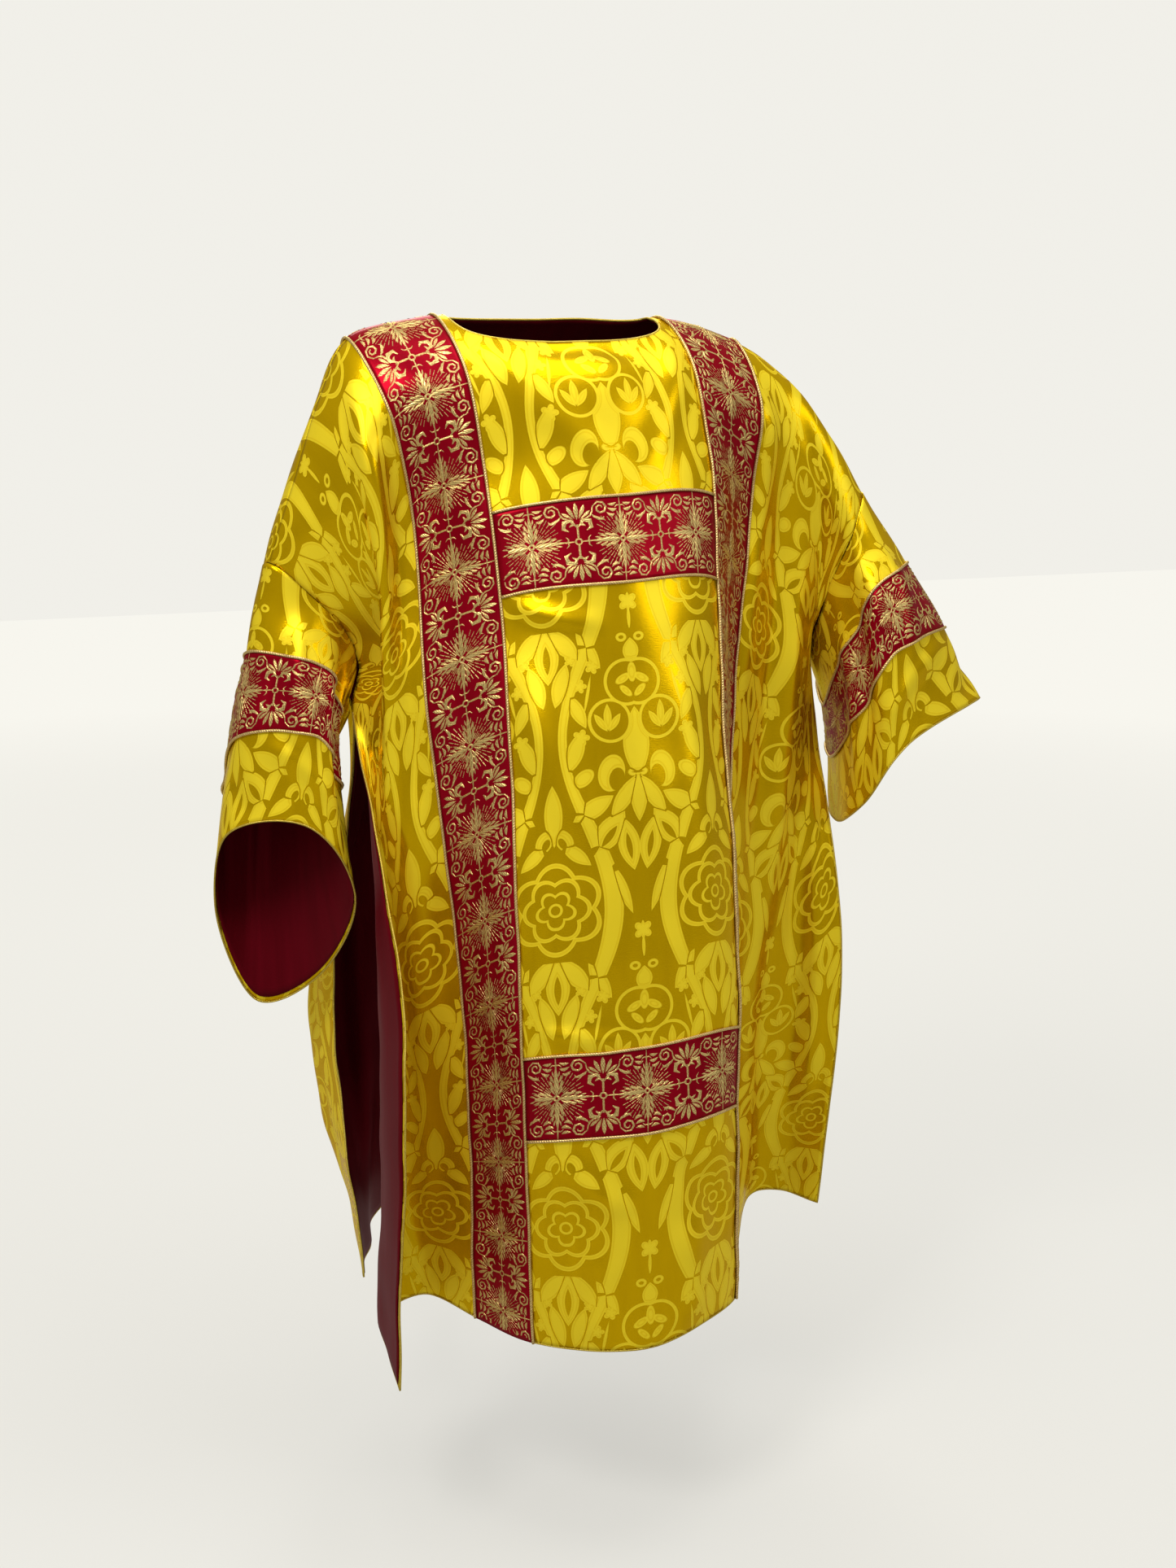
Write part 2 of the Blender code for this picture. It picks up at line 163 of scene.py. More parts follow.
BACK: tuple[Column, ...] = metres((
    (-500, (-337, 12, -280), (-322, 90, -325), (-262, 108, -385),
     (-241, 16, -460), (-254, 92), (-246, 0, -1170)),
    (-420, (-313, 10, -203), (-300, 88, -255), (-250, 128, -345),
     (-200, 82, -485), (-258, 150), (-224, 85, -1190)),
    (-340, (-284, 6, -125), (-274, 85, -180), (-238, 130, -290),
     (-218, 122, -485), (-228, 200), (-196, 165, -1205)),
    (-240, (-240, 0, -30), (-228, 84, -85), (-200, 120, -200),
     (-184, 142, -410), (-160, 182), (-164, 258, -1205)),
    (-140, (-140, 0, -4), (-132, 86, -54), (-120, 128, -164),
     (-110, 156, -375), (-92, 230), (-92, 318, -1195)),
    (0, (0, 0, 0), (2, 86, -50), (4, 128, -160),
     (6, 150, -370), (12, 190), (16, 262, -1205)),
    (140, (140, 0, -4), (136, 86, -54), (128, 126, -164),
     (124, 156, -375), (116, 230), (124, 316, -1195)),
    (240, (240, 0, -30), (236, 82, -86), (220, 112, -202),
     (206, 132, -415), (192, 176), (206, 262, -1205)),
    (340, (314, -5, -81), (310, 74, -140), (298, 106, -255),
     (272, 114, -465), (264, 156), (258, 196, -1190)),
    (420, (365, -10, -140), (356, 70, -200), (336, 104, -305),
     (318, 88, -455), (326, 140), (308, 150, -1170)),
    (500, (412, -16, -216), (402, 62, -266), (372, 96, -345),
     (378, 52, -430), (372, 98), (366, 106, -1160)),
))

# Sleeves: thousandths of the half turn from the top to the seam below, then half way and cuff
Ring = tuple[float, Place, Place]
SLEEVE_RIGHT: tuple[Ring, ...] = metres((
    (-670, (-326, 120, -575), (-348, 104, -830)),
    (-330, (-358, 102, -490), (-398, 88, -705)),
    (0, (-370, 14, -428), (-396, 0, -592)),
    (330, (-290, -40, -432), (-314, -50, -580)),
    (670, (-280, -22, -492), (-258, -40, -668)),
    (1000, (-288, 44, -580), (-276, 50, -785)),
))
SLEEVE_LEFT: tuple[Ring, ...] = metres((
    (-670, (438, 110, -500), (450, 104, -625)),
    (-330, (474, 84, -390), (532, 70, -540)),
    (0, (502, -26, -346), (582, -37, -484)),
    (330, (412, -88, -362), (446, -100, -523)),
    (670, (394, -38, -458), (404, -62, -606)),
    (1000, (412, 48, -525), (416, 30, -648)),
))


@dataclass(frozen=True)
class Fold:
    """A soft ridge, or a trough where its height is negative, along a line of the cut."""

    start: Pair
    end: Pair
    height: float
    reach: float
    bow: float = 0.0
    fade: float = 0.3

    def relief(self, u: Array, v: Array) -> Array:
        """Height that the fold adds at places of the cut.

        Args:
            u: Places across the cut.
            v: Places down the cut.

        Returns:
            The added height at each place.
        """
        run = np.subtract(self.end, self.start)
        length = float(np.hypot(*run))
        along, aside = run / length, np.array((-run[1], run[0])) / length
        du, dv = u - self.start[0], v - self.start[1]
        t = (du * along[0] + dv * along[1]) / length
        d = du * aside[0] + dv * aside[1] - self.bow * np.sin(math.pi * np.clip(t, 0, 1))
        fade = np.clip(t / self.fade, 0, 1) * np.clip((1 - t) / self.fade, 0, 1)
        fade = fade * fade * (3 - 2 * fade)
        return self.height * fade * np.exp(-((d / self.reach) ** 2))


@dataclass(frozen=True)
class Ripple:
    """A slow wave over the whole cloth, which keeps it from lying flat."""

    wave: Pair
    phase: float
    height: float
    drift: Pair = (7.0, -5.0)
    drift_size: float = 0.9

    def relief(self, u: Array, v: Array) -> Array:
        """Height that the wave adds at places of the cut."""
        drift = self.drift_size * np.sin(self.drift[0] * u + self.drift[1] * v + self.phase)
        return self.height * np.sin(self.wave[0] * u + self.wave[1] * v + self.phase + drift)


Relief = Fold | Ripple


def fold(row: Sequence[float]) -> Fold:
    """A fold from its row of millimetres."""
    start_u, start_v, end_u, end_v, *rest = metres(row)
    return Fold((start_u, start_v), (end_u, end_v), *rest)


def hermite(knots: Sequence[float], values: Array, at: Array) -> Array:
    """Smooth curve through values at uneven knots.

    Args:
        knots: Increasing places of the values.
        values: One value a knot, along the first axis.
        at: Places to work out.

    Returns:
        The curve's values at those places, along the first axis.
    """
    k = np.asarray(knots, float)
    shape = (-1,) + (1,) * (values.ndim - 1)
    gap = np.diff(k).reshape(shape)
    step = np.diff(values, axis=0) / gap
    inner = (step[:-1] * gap[1:] + step[1:] * gap[:-1]) / (gap[1:] + gap[:-1])
    slope = np.concatenate([step[:1], inner, step[-1:]])
    i = np.clip(np.searchsorted(k, at, side="left") - 1, 0, len(k) - 2)
    width = (k[i + 1] - k[i]).reshape(shape)
    t = (np.asarray(at) - k[i]).reshape(shape) / width
    return (
        values[i] * (1 + 2 * t) * (1 - t) ** 2
        + slope[i] * width * t * (1 - t) ** 2
        + values[i + 1] * t * t * (3 - 2 * t)
        - slope[i + 1] * width * t * t * (1 - t)
    )


def hung(column: Column) -> list[Place]:
    """The six places of a column, with the knee let down by the length that is left for it."""
    above, knee = column[4], column[5]
    aside = math.hypot(knee[0] - above[0], knee[1] - above[1])
    fall = math.sqrt((LEVELS[4] - LEVELS[3]) ** 2 - aside**2)
    return [*column[1:5], (knee[0], knee[1], above[2] - fall), column[6]]


def levels_of(table: Sequence[Column], across: Array) -> Array:
    """Places of each level of one half of the body, at places across the cut."""
    places = np.array([hung(column) for column in table])
    knots = [column[0] for column in table]
    return np.stack([hermite(knots, places[:, k], across) for k in range(len(LEVELS))])


def body_places(across: Array, down: Array) -> Array:
    """Net of the body: an array of down by across by 3."""
    front, back = levels_of(FRONT, across), levels_of(BACK, across)
    rows = np.concatenate([back[:0:-1], front])
    return hermite([-level for level in LEVELS[:0:-1]] + list(LEVELS), rows, down)


# Shares of the half turn: where the gap beside the seam starts, and over which it grows
UNDERARM_START, UNDERARM_RUN = 0.45, 0.2


def sleeve_places(side: int, turns: Array, along: Array) -> Array:
    """Net of a sleeve: an array of along by turns by 3."""
    table = SLEEVE_RIGHT if side < 0 else SLEEVE_LEFT
    knots = [row[0] for row in table]
    knots = [knots[-2] - 2, knots[-1] - 2, *knots, knots[0] + 2]
    rings = []
    for k in (1, 2):
        ring = np.array([row[k] for row in table])
        rings.append(hermite(knots, np.concatenate([ring[-2:], ring, ring[:1]]), turns))
    edge = body_places(np.array([side * CUT.half_width]), turns * CUT.armhole)[:, 0]
    edge[:, 0] += side * CUT.underarm_gap * np.clip((np.abs(turns) - UNDERARM_START) / UNDERARM_RUN, 0, 1)
    return hermite((0.0, 0.5, 1.0), np.stack([edge, *rings]), along)


class Sheet:
    """The surface that cloth lies on, as a fine net over an even grid of the flat cut.

    Creases calm down over a share of the half turn beside a closed sheet's seam, and a place past the last
    line is held just inside the last cell.
    """

    seam_calm = 0.12
    inside = 1.0001

    def __init__(self, u: Pair, v: Pair, step: Pair, net: Callable[[Array, Array], Array], outward: int,
                 reliefs: Iterable[Relief], scale: Pair = (1.0, 1.0), closed: bool = False) -> None:
        """Works out the net with its creases.

        Args:
            u: First and last place across.
            v: First and last place down.
            step: Spacing of the net across and down.
            net: Gives the places of a grid, as down by across by 3.
            outward: Sign that makes the directions point out of the garment.
            reliefs: Folds and ripples worked into it.
            scale: Metres of cloth for one unit across and down.
            closed: Whether the last line across is the first one.
        """
        self.u = np.linspace(*u, round((u[1] - u[0]) / step[0]) + 1)
        self.v = np.linspace(*v, round((v[1] - v[0]) / step[1]) + 1)
        self.scale, self.outward, self.closed = scale, outward, closed
        self.points = net(self.u, self.v)
        self.directions = self._directions()
        uu, vv = np.meshgrid(self.u * scale[0], self.v * scale[1])
        height = sum((relief.relief(uu, vv) for relief in reliefs), np.zeros_like(uu))
        if closed:
            height *= np.clip((1 - np.abs(self.u)) / self.seam_calm, 0, 1)
        self.points = self.points + self.directions * height[..., None]
        self.directions = self._directions()

    def _directions(self) -> Array:
        """Outward unit direction at each point of the net."""
        across = np.gradient(self.points, axis=1)
        if self.closed:
            across[:, 0] = across[:, -1] = 0.5 * (self.points[:, 1] - self.points[:, -2])
        normal = np.cross(np.gradient(self.points, axis=0), across) * self.outward
        return normal / np.maximum(np.linalg.norm(normal, axis=-1, keepdims=True), TINY)

    def _cell(self, place: Array, line: Array) -> tuple[Array, Array]:
        """Number of the cell that each place lies in, and how far along it."""
        x = np.clip((place - line[0]) / (line[1] - line[0]), 0, len(line) - self.inside)
        i = x.astype(int)
        return i, (x - i)[:, None]

    def at(self, u: Array, v: Array, lift: Array | float) -> Array:
        """Places in space.

        Args:
            u: Places across the cut.
            v: Places down the cut.
            lift: Heights above the sheet.

        Returns:
            One point a place.
        """
        if self.closed:
            u = (np.asarray(u) + 1) % 2 - 1
        i, s = self._cell(u, self.u)
        j, t = self._cell(v, self.v)

        def mixed(net: Array) -> Array:
            """The net between its four nearest points."""
            near = net[j, i] * (1 - s) + net[j, i + 1] * s
            return near * (1 - t) + (net[j + 1, i] * (1 - s) + net[j + 1, i + 1] * s) * t

        normal = mixed(self.directions)
        normal /= np.linalg.norm(normal, axis=-1, keepdims=True)
        return mixed(self.points) + normal * np.broadcast_to(lift, i.shape)[:, None]


def keep(bm: Mesh, name: str, material: Material) -> bpy.types.Object:
    """Makes a bmesh into a smooth piece that rides on the body.

    Args:
        bm: The finished bmesh, which is freed.
        name: Name of the piece.
        material: Its material.

    Returns:
        The new object.
    """
    mesh = bpy.data.meshes.new(name)
    bm.to_mesh(mesh)
    bm.free()
    mesh.shade_smooth()
    mesh.materials.append(material)
    piece = bpy.data.objects.new(name, mesh)
    bpy.context.scene.collection.objects.link(piece)
    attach(piece, BODY)
    LOG.info("%s: %d faces", name, len(mesh.polygons))
    return piece


def laid(bm: Mesh, first: Sequence[float], second: Sequence[float], place: Callable[[Array, Array], Array],
         cloth_map: Callable[[Array, Array], tuple[Array, Array]]) -> list[bmesh.types.BMVert]:
    """Adds a grid to a bmesh, moves it into place and maps it.

    Args:
        bm: The bmesh to add to.
        first: Values of the lines along the grid's X.
        second: Values of the lines along the grid's Y.
        place: Gives the point for each pair of values.
        cloth_map: Gives the UV for each pair of values.

    Returns:
        The grid's vertices.
    """
    last = len(first) - 1, len(second) - 1
    verts = bmesh.ops.create_grid(bm, x_segments=last[0], y_segments=last[1], size=1.0)["verts"]
    flat = np.array([vert.co[:2] for vert in verts])
    i, j = np.rint((flat + 1) / 2 * last).astype(int).T
    a, b = np.asarray(first)[i], np.asarray(second)[j]
    points = place(a, b)
    us, vs = cloth_map(a, b)
    uv = bm.loops.layers.uv.verify()
    for vert, point, u, v in zip(verts, points.tolist(), us.tolist(), vs.tolist()):
        vert.co = point
        for loop in vert.link_loops:
            loop[uv].uv = (u, v)
    return verts


def point_outwards(bm: Mesh, sample: Vector, direction: Vector) -> None:
    """Turns the faces of an open cloth so that the one nearest a point looks along a direction."""
    bmesh.ops.recalc_face_normals(bm, faces=bm.faces[:])
    nearest = min(bm.faces, key=lambda face: (face.calc_center_median() - sample).length_squared)
    if nearest.normal.dot(direction) < 0:
        bmesh.ops.reverse_faces(bm, faces=bm.faces[:])


@dataclass(frozen=True)
class Goods:
    """What a cloth is cut from: its material, a slot name for it that nothing reads, and its layer."""

    material: Material
    slot: str
    layer: Layer


def cloth(name: str, node: str, sheet: Sheet, us: Array, vs: Array, goods: Goods,
          bend: Callable[[Array, Array], Array] = lambda u, v: v) -> None:
    """A piece of cloth: a fine grid of the cut, laid on its sheet and given its thickness.

    Args:
        name: Name of the piece.
        node: The solid that it stands for.
        sheet: The sheet it lies on.
        us: Lines across.
        vs: Lines down.
        goods: What it is cut from.
        bend: Moves the lines down, as under the neck.
    """
    layer = goods.layer
    bm = bmesh.new()
    laid(bm, us, vs, lambda u, v: sheet.at(u, bend(u, v), layer.lift),
         lambda u, v: (u * sheet.scale[0], bend(u, v) * sheet.scale[1]))
    if sheet.closed:
        bmesh.ops.remove_doubles(bm, verts=bm.verts[:], dist=SEAM_MERGE)
    middle = np.array([0.5 * (us[0] + us[-1])]), np.array([0.5 * (vs[0] + vs[-1])])
    inner, outer = (Vector(sheet.at(*middle, lift)[0]) for lift in (layer.lift, layer.lift + PROBE))
    point_outwards(bm, inner, outer - inner)
    piece = keep(bm, name, goods.material)
    wall = piece.modifiers.new("thickness", "SOLIDIFY")
    wall.thickness, wall.offset = layer.thickness, -1.0
    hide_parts(node)


def rope(name: str, runs: Iterable[Array], radius: float, material: Material, sides: int = 7) -> None:
    """A thin round cord along one or more runs of points.

    Args:
        name: Name of the piece.
        runs: The middle line of each cord; a run that ends where it starts is a loop.
        radius: Radius of the cord.
        material: Its material.
        sides: Number of faces round the cord.
    """
    bm = bmesh.new()
    for points in runs:
        tangent = np.gradient(points, axis=0)
        if np.linalg.norm(points[0] - points[-1]) < CORD_MERGE:
            tangent[0] = tangent[-1] = points[1] - points[-2]
        tangent /= np.maximum(np.linalg.norm(tangent, axis=1, keepdims=True), TINY)
        hint = np.zeros(3)
        hint[int(np.argmin(np.abs(tangent).mean(axis=0)))] = 1.0
        side = np.cross(tangent, hint)
        side /= np.maximum(np.linalg.norm(side, axis=1, keepdims=True), TINY)
        up = np.cross(side, tangent)
        length = np.concatenate([[0.0], np.cumsum(np.linalg.norm(np.diff(points, axis=0), axis=1))])

        def place(i: Array, turn: Array) -> Array:
            """Point on the cord's skin."""
            k, angle = i.astype(int), (math.tau * turn)[:, None]
            return points[k] + radius * (np.cos(angle) * side[k] + np.sin(angle) * up[k])

        fresh = laid(bm, range(len(points)), np.linspace(0, 1, sides + 1), place,
                     lambda i, turn: (length[i.astype(int)], turn))
        bmesh.ops.remove_doubles(bm, verts=fresh, dist=CORD_MERGE)
    bmesh.ops.holes_fill(bm, edges=[edge for edge in bm.edges if edge.is_boundary], sides=sides + 1)
    bmesh.ops.recalc_face_normals(bm, faces=bm.faces[:])
    keep(bm, name, material)


# Embroidery, in millimetres: a stroke narrower than a dash is one flat stitch, and the others are padded
DASH = 0.5
DASH_EDGE, DASH_CREST = 0.05, 0.2
PAD_EDGE, PAD_CREST, PAD_SWELL = -0.2, 0.1, 0.30
STITCH_MAP = 0.004
CURL_POINTS, SCROLL_POINTS = 9, 5


@dataclass(frozen=True)
class Stroke:
    """One raised line of gold thread: its course, half width, fullest place and how blunt its ends are."""

    course: tuple[Pair, ...]
    width: float
    fullest: float = 0.5
    blunt: float = 0.15

    @property
    def steps(self) -> int:
        """Number of faces along it: a long scroll has the most."""
        return 1 if self.width < DASH else 10 if len(self.course) > SCROLL_POINTS else 4

    def drawn(self, along: Pair, across: Pair) -> Stroke:
        """The same line on turned or mirrored axes."""
        course = tuple((x * along[0] + y * across[0], x * along[1] + y * across[1]) for x, y in self.course)
        return replace(self, course=course)

    def shape(self) -> tuple[Array, Array, Array]:
        """Middle line, sideways direction and half width along the stroke."""
        knots = np.linspace(0, 1, len(self.course))
        t = np.linspace(0, 1, self.steps + 1)
        ends = np.array(self.course, float)
        line = hermite(knots, ends, t) if len(knots) > 2 else np.outer(1 - t, ends[0]) + np.outer(t, ends[1])
        tangent = np.gradient(line, axis=0)
        tangent /= np.maximum(np.linalg.norm(tangent, axis=1, keepdims=True), TINY)
        rise = np.where(t < self.fullest, t / self.fullest, (1 - t) / (1 - self.fullest))
        half = self.width * (self.blunt + (1 - self.blunt) * np.sin(0.5 * math.pi * np.clip(rise, 0, 1)))
        return line, np.stack([-tangent[:, 1], tangent[:, 0]], axis=1), half


def curl(centre: Pair, radius: float, start: float, turns: float, inner: float = 0.25) -> tuple[Pair, ...]:
    """Points of a scroll that winds in about its centre.

    Args:
        centre: Middle of the scroll.
        radius: Radius where it starts.
        start: Angle where it starts, in degrees.
        turns: Turns it makes, negative clockwise.
        inner: Share of the radius that is left at its end.

    Returns:
        The points, from the outside in.
    """
    points = []
    for share in np.linspace(0, 1, CURL_POINTS).tolist():
        angle, r = math.radians(start + 360 * turns * share), radius * (1 - (1 - inner) * share)
        points.append((centre[0] + r * math.cos(angle), centre[1] + r * math.sin(angle)))
    return tuple(points)


@dataclass(frozen=True)
class Rays:
    """The broken rays that stand between the arms of a cross."""

    count: int = 8
    spread: float = 8.4
    near: float = 9.5
    far: float = 37.5
    slope: float = 2.2
    short: float = 3.0
    width: float = 0.49

    def strokes(self) -> list[Stroke]:
        """The dashes of one quarter, three to a ray."""
        found = []
        for k in range(self.count):
            aside = k - 0.5 * (self.count - 1)
            angle = math.radians(45 + aside * self.spread)
            reach = self.far - self.slope * abs(aside) - (self.short if k % 2 else 0.0)
            for ends in ((self.near, 0.50 * reach), (0.55 * reach, 0.74 * reach), (0.79 * reach, reach)):
                course = tuple((r * math.cos(angle), r * math.sin(angle)) for r in ends)
                found.append(Stroke(course, self.width, 0.5, 0.9))
        return found


def star_strokes() -> list[Stroke]:
    """The four-armed flowering cross with rays between its arms."""
    quarter = [Stroke(((3, 0), (16, 0), (36, 0)), 3.2, 0.45, 0.3), Stroke(((34, 0), (48, 0)), 1.2, 0.2, 0.5)]
    for sign in (1, -1):
        quarter += [
            Stroke(((4, sign * 1.2), (9, sign * 4.8), (15, sign * 6.2)), 1.7, 0.6),
            Stroke(((9, sign * 1.4), (15, sign * 5.2), (21.5, sign * 7.5)), 1.8, 0.6),
            Stroke(((17, sign * 1.4), (22, sign * 4.6), (27.5, sign * 5.8)), 1.6, 0.6),
            Stroke(((24, sign * 1.0), (28, sign * 3.2), (32.5, sign * 4.0)), 1.3, 0.6),
            Stroke(((38.5, 0), (39.2, sign * 3.5), (36.5, sign * 6.5)), 1.1, 0.3, 0.4),
        ]
    quarter += Rays().strokes()
    turns = ((1, 0), (0, 1), (-1, 0), (0, -1))
    strokes = [part.drawn((c, s), (-s, c)) for c, s in turns for part in quarter]
    return [*strokes, Stroke(curl((0, 0), 2.8, 0, 1, 1.0), 1.6, 0.5, 0.9)]


def palmette_strokes() -> list[Stroke]:
    """The double palmette that stands between two crosses, with a scroll in each corner."""
    middle = [Stroke(((0, 3), (0, 20)), 1.5, 0.5, 0.8), Stroke(((0, 26), (0, 45.5)), 3.0, 0.6)]
    quarter = [
        Stroke(((1, 17), (6.5, 25), (13.5, 23.5), (15, 16), (9.5, 12.5)), 3.2, 0.5, 0.25),
        Stroke(((1, 19.5), (5.5, 20), (8.8, 17.5)), 1.7, 0.5),
        Stroke(((2.2, 27), (6, 34.5), (9.2, 42.5)), 2.6, 0.65),
        Stroke(((4, 26.5), (10, 31), (15, 35)), 2.2, 0.65),
        Stroke(((3.5, 24.5), (12, 27.2), (16.5, 32), (18, 39)), 1.4, 0.3, 0.6),
        Stroke(curl((26.5, 37), 8.8, 165, -1.45), 1.6, 0.3, 0.6),
        Stroke(((16, 31), (20.5, 26.5), (28, 23.5), (30, 27)), 2.2, 0.5),
        Stroke(((33.5, 31.5), (38.5, 27.5), (43, 29)), 2.4, 0.5),
        Stroke(((35, 36.5), (41, 33.5), (46, 35)), 2.4, 0.5),
        Stroke(((35.5, 41), (41, 40), (46, 42)), 2.2, 0.5),
    ]
    strokes = [part.drawn((a, 0), (0, b)) for a in (1, -1) for b in (1, -1) for part in quarter]
    strokes += [part.drawn((1, 0), (0, b)) for b in (1, -1) for part in middle]
    return [*strokes, Stroke(curl((0, 0), 3.4, 90, 1, 1.0), 1.3, 0.5, 0.9)]


class Motif:
    """One embroidered figure, made flat once and then stamped along the bands."""

    def __init__(self, name: str, strokes: Iterable[Stroke]) -> None:
        """Builds the flat figure, in metres along the band, across it and above it."""
        bm = bmesh.new()
        for stroke in strokes:
            line, aside, half = stroke.shape()
            edge, crest = PAD_EDGE, PAD_CREST + PAD_SWELL * half
            if stroke.steps == 1:
                edge, crest = DASH_EDGE, np.full(len(half), DASH_CREST)

            def lay(k: Array, across: Array) -> Array:
                """Point on the stroke, higher in its middle than at its sides."""
                i = k.astype(int)
                flat = line[i] + aside[i] * (half[i] * across)[:, None]
                return np.column_stack([flat, np.where(np.abs(across) > 0.5, edge, crest[i])]) / 1000

            laid(bm, range(len(line)), (-1.0, 0.0, 1.0), lay, lambda k, across: (k * STITCH_MAP, across))
        self.mesh = bpy.data.meshes.new(name)
        bm.to_mesh(self.mesh)
        bm.free()
        self.flat = np.array([vert.co[:] for vert in self.mesh.vertices])

    def stamp(self, bm: Mesh, sheet: Sheet, u: Array, v: Array) -> list[bmesh.types.BMVert]:
        """Adds the figure to a bmesh.

        Args:
            bm: The bmesh to add to, which has lost no vertex yet.
            sheet: The sheet that the band lies on.
            u: Place across the cut of each of the figure's points.
            v: Place down the cut of each.

        Returns:
            The points of the stamped figure.
        """
        first = len(bm.verts)
        bm.from_mesh(self.mesh)
        bm.verts.ensure_lookup_table()
        fresh = bm.verts[first:]
        for vert, point in zip(fresh, sheet.at(u, v, Layer.BAND.lift + self.flat[:, 2]).tolist()):
            vert.co = point
        return fresh


class Tree:
    """Short calls for the nodes of a shader tree."""

    def __init__(self, tree: NodeTree) -> None:
        """Takes the tree that nodes are added to."""
        self.tree = tree

    def add(self, kind: str, values: dict[str | int, object] | None = None, **settings: object) -> Node:
        """Adds a shader node, sets its properties, and sets or links its inputs."""
        node = self.tree.nodes.new(f"ShaderNode{kind}")
        for name, value in settings.items():
            setattr(node, name, value)
        self.fill(node, values or {})
        return node

    def fill(self, node: Node, values: dict[str | int, object]) -> None:
        """Links a node's inputs to other nodes, or gives them plain values."""
        for key, value in values.items():
            if isinstance(value, Socket):
                self.tree.links.new(value, node.inputs[key])
            else:
                node.inputs[key].default_value = value

    def math(self, kind: str, *values: object, clamp: bool = False) -> Socket:
        """One Math node."""
        return self.add("Math", dict(enumerate(values)), operation=kind, use_clamp=clamp).outputs[0]

    def line(self, value: Socket, slope: object, start: object, clamp: bool = False) -> Socket:
        """A value times a slope, plus a start."""
        return self.math("MULTIPLY_ADD", value, slope, start, clamp=clamp)

    def gap(self, first: Socket, second: object) -> Socket:
        """How far two values are apart."""
        return self.math("ABSOLUTE", self.math("SUBTRACT", first, second))

    def most(self, first: Socket, *others: Socket) -> Socket:
        """The greatest of several values."""
        for other in others:
            first = self.math("MAXIMUM", first, other)
        return first

    def axes(self, vector: Socket) -> Sequence[Socket]:
        """The three values of a vector."""
        return self.add("SeparateXYZ", {0: vector}).outputs

    def length(self, vector: Socket) -> Socket:
        """The length of a vector."""
        return self.add("VectorMath", {0: vector}, operation="LENGTH").outputs["Value"]

    def stretched(self, vector: Socket, factors: tuple[float, float, float]) -> Socket:
        """A vector with its values multiplied."""
        return self.add("VectorMath", {0: vector, 1: factors}, operation="MULTIPLY").outputs[0]

    def noise(self, vector: Socket, scale: object, detail: float) -> Socket:
        """Soft noise from 0 to 1."""
        return self.add("TexNoise", {"Vector": vector, "Scale": scale, "Detail": detail}).outputs[0]

    def seen_from(self, place: Socket, middle: Pair, half: Pair, turn: float = 0.0) -> Socket:
        """A place measured from a shape's middle, in its half sizes; millimetres and degrees."""
        return self.add("Mapping", {
            "Vector": place,
            "Location": (middle[0] / 1000, middle[1] / 1000, 0.0),
            "Rotation": (0.0, 0.0, math.radians(turn)),
            "Scale": (half[0] / 1000, half[1] / 1000, 1.0),
        }, vector_type="TEXTURE").outputs[0]

    def placed(self, effect: NodeTree, cloth_map: Socket) -> Sequence[Socket]:
        """What a shared effect puts out for the cloth's map."""
        return self.add("Group", {0: cloth_map}, node_tree=effect).outputs

    def mix(self, factor: object, first: object, second: object, kind: str = "RGBA") -> Socket:
        """Mixes two colours, or two values where kind is FLOAT."""
        *inputs, output = {"RGBA": (0, 6, 7, 2), "FLOAT": (0, 2, 3, 0)}[kind]
        return self.add("Mix", dict(zip(inputs, (factor, first, second))), data_type=kind).outputs[output]

    def bump(self, height: Socket, depth: float, strength: float) -> Socket:
        """A normal that follows a height."""
        return self.add("Bump", {"Height": height, "Distance": depth, "Strength": strength}).outputs[0]


def group(name: str, inputs: dict[str, tuple[str, object]],
          outputs: Sequence[str]) -> tuple[NodeTree, Tree, Node, Node]:
    """Starts a shader node group.

    Args:
        name: Name of the group.
        inputs: Socket names with their type and default.
        outputs: Names of the values that it puts out.

    Returns:
        The group, the builder for it, and its input and output nodes.
    """
    tree = bpy.data.node_groups.new(name, "ShaderNodeTree")
    for key, (kind, default) in inputs.items():
        socket = tree.interface.new_socket(name=key, in_out="INPUT", socket_type=kind)
        if default is not None:
            socket.default_value = default
    for key in outputs:
        tree.interface.new_socket(name=key, in_out="OUTPUT", socket_type="NodeSocketFloat")
    return tree, Tree(tree), tree.nodes.new("NodeGroupInput"), tree.nodes.new("NodeGroupOutput")


class Form(Enum):
    """The shapes that the damask's figure is drawn with."""

    OVAL = "oval"
    LEAF = "leaf"
    FLOWER = "flower"


@dataclass(frozen=True)
class Part:
    """One shape of the figure: its middle, half sizes and turn, in millimetres and degrees.

    For a flower, the second half size is its number of petals.
    """

    form: Form
    at: Pair
    half: Pair
    turn: float = 0.0


@dataclass(frozen=True)
class PetalRing:
    """One ring of a rose's petals, in millimetres."""

    radius: float
    petals: int
    depth: float
    phase: float
    line: float


@dataclass(frozen=True)
class Drawing:
    """Sizes that the woven figure shares, in metres."""

    repeat_across: float = 0.19
    repeat_down: float = 0.372
    repeat_top: float = 0.045
    origin: float = 0.075
    branch: float = 0.058
    branch_swing: float = -0.025
    branch_half: float = 0.0074
    branch_swell: float = 0.0030
    line: float = 0.0017
    groove: float = 0.0016
    groove_depth: float = 0.02
    edge: float = 0.0009
    vein: float = 0.0022
    vein_half: float = 0.0011
    petal_depth: float = 0.42


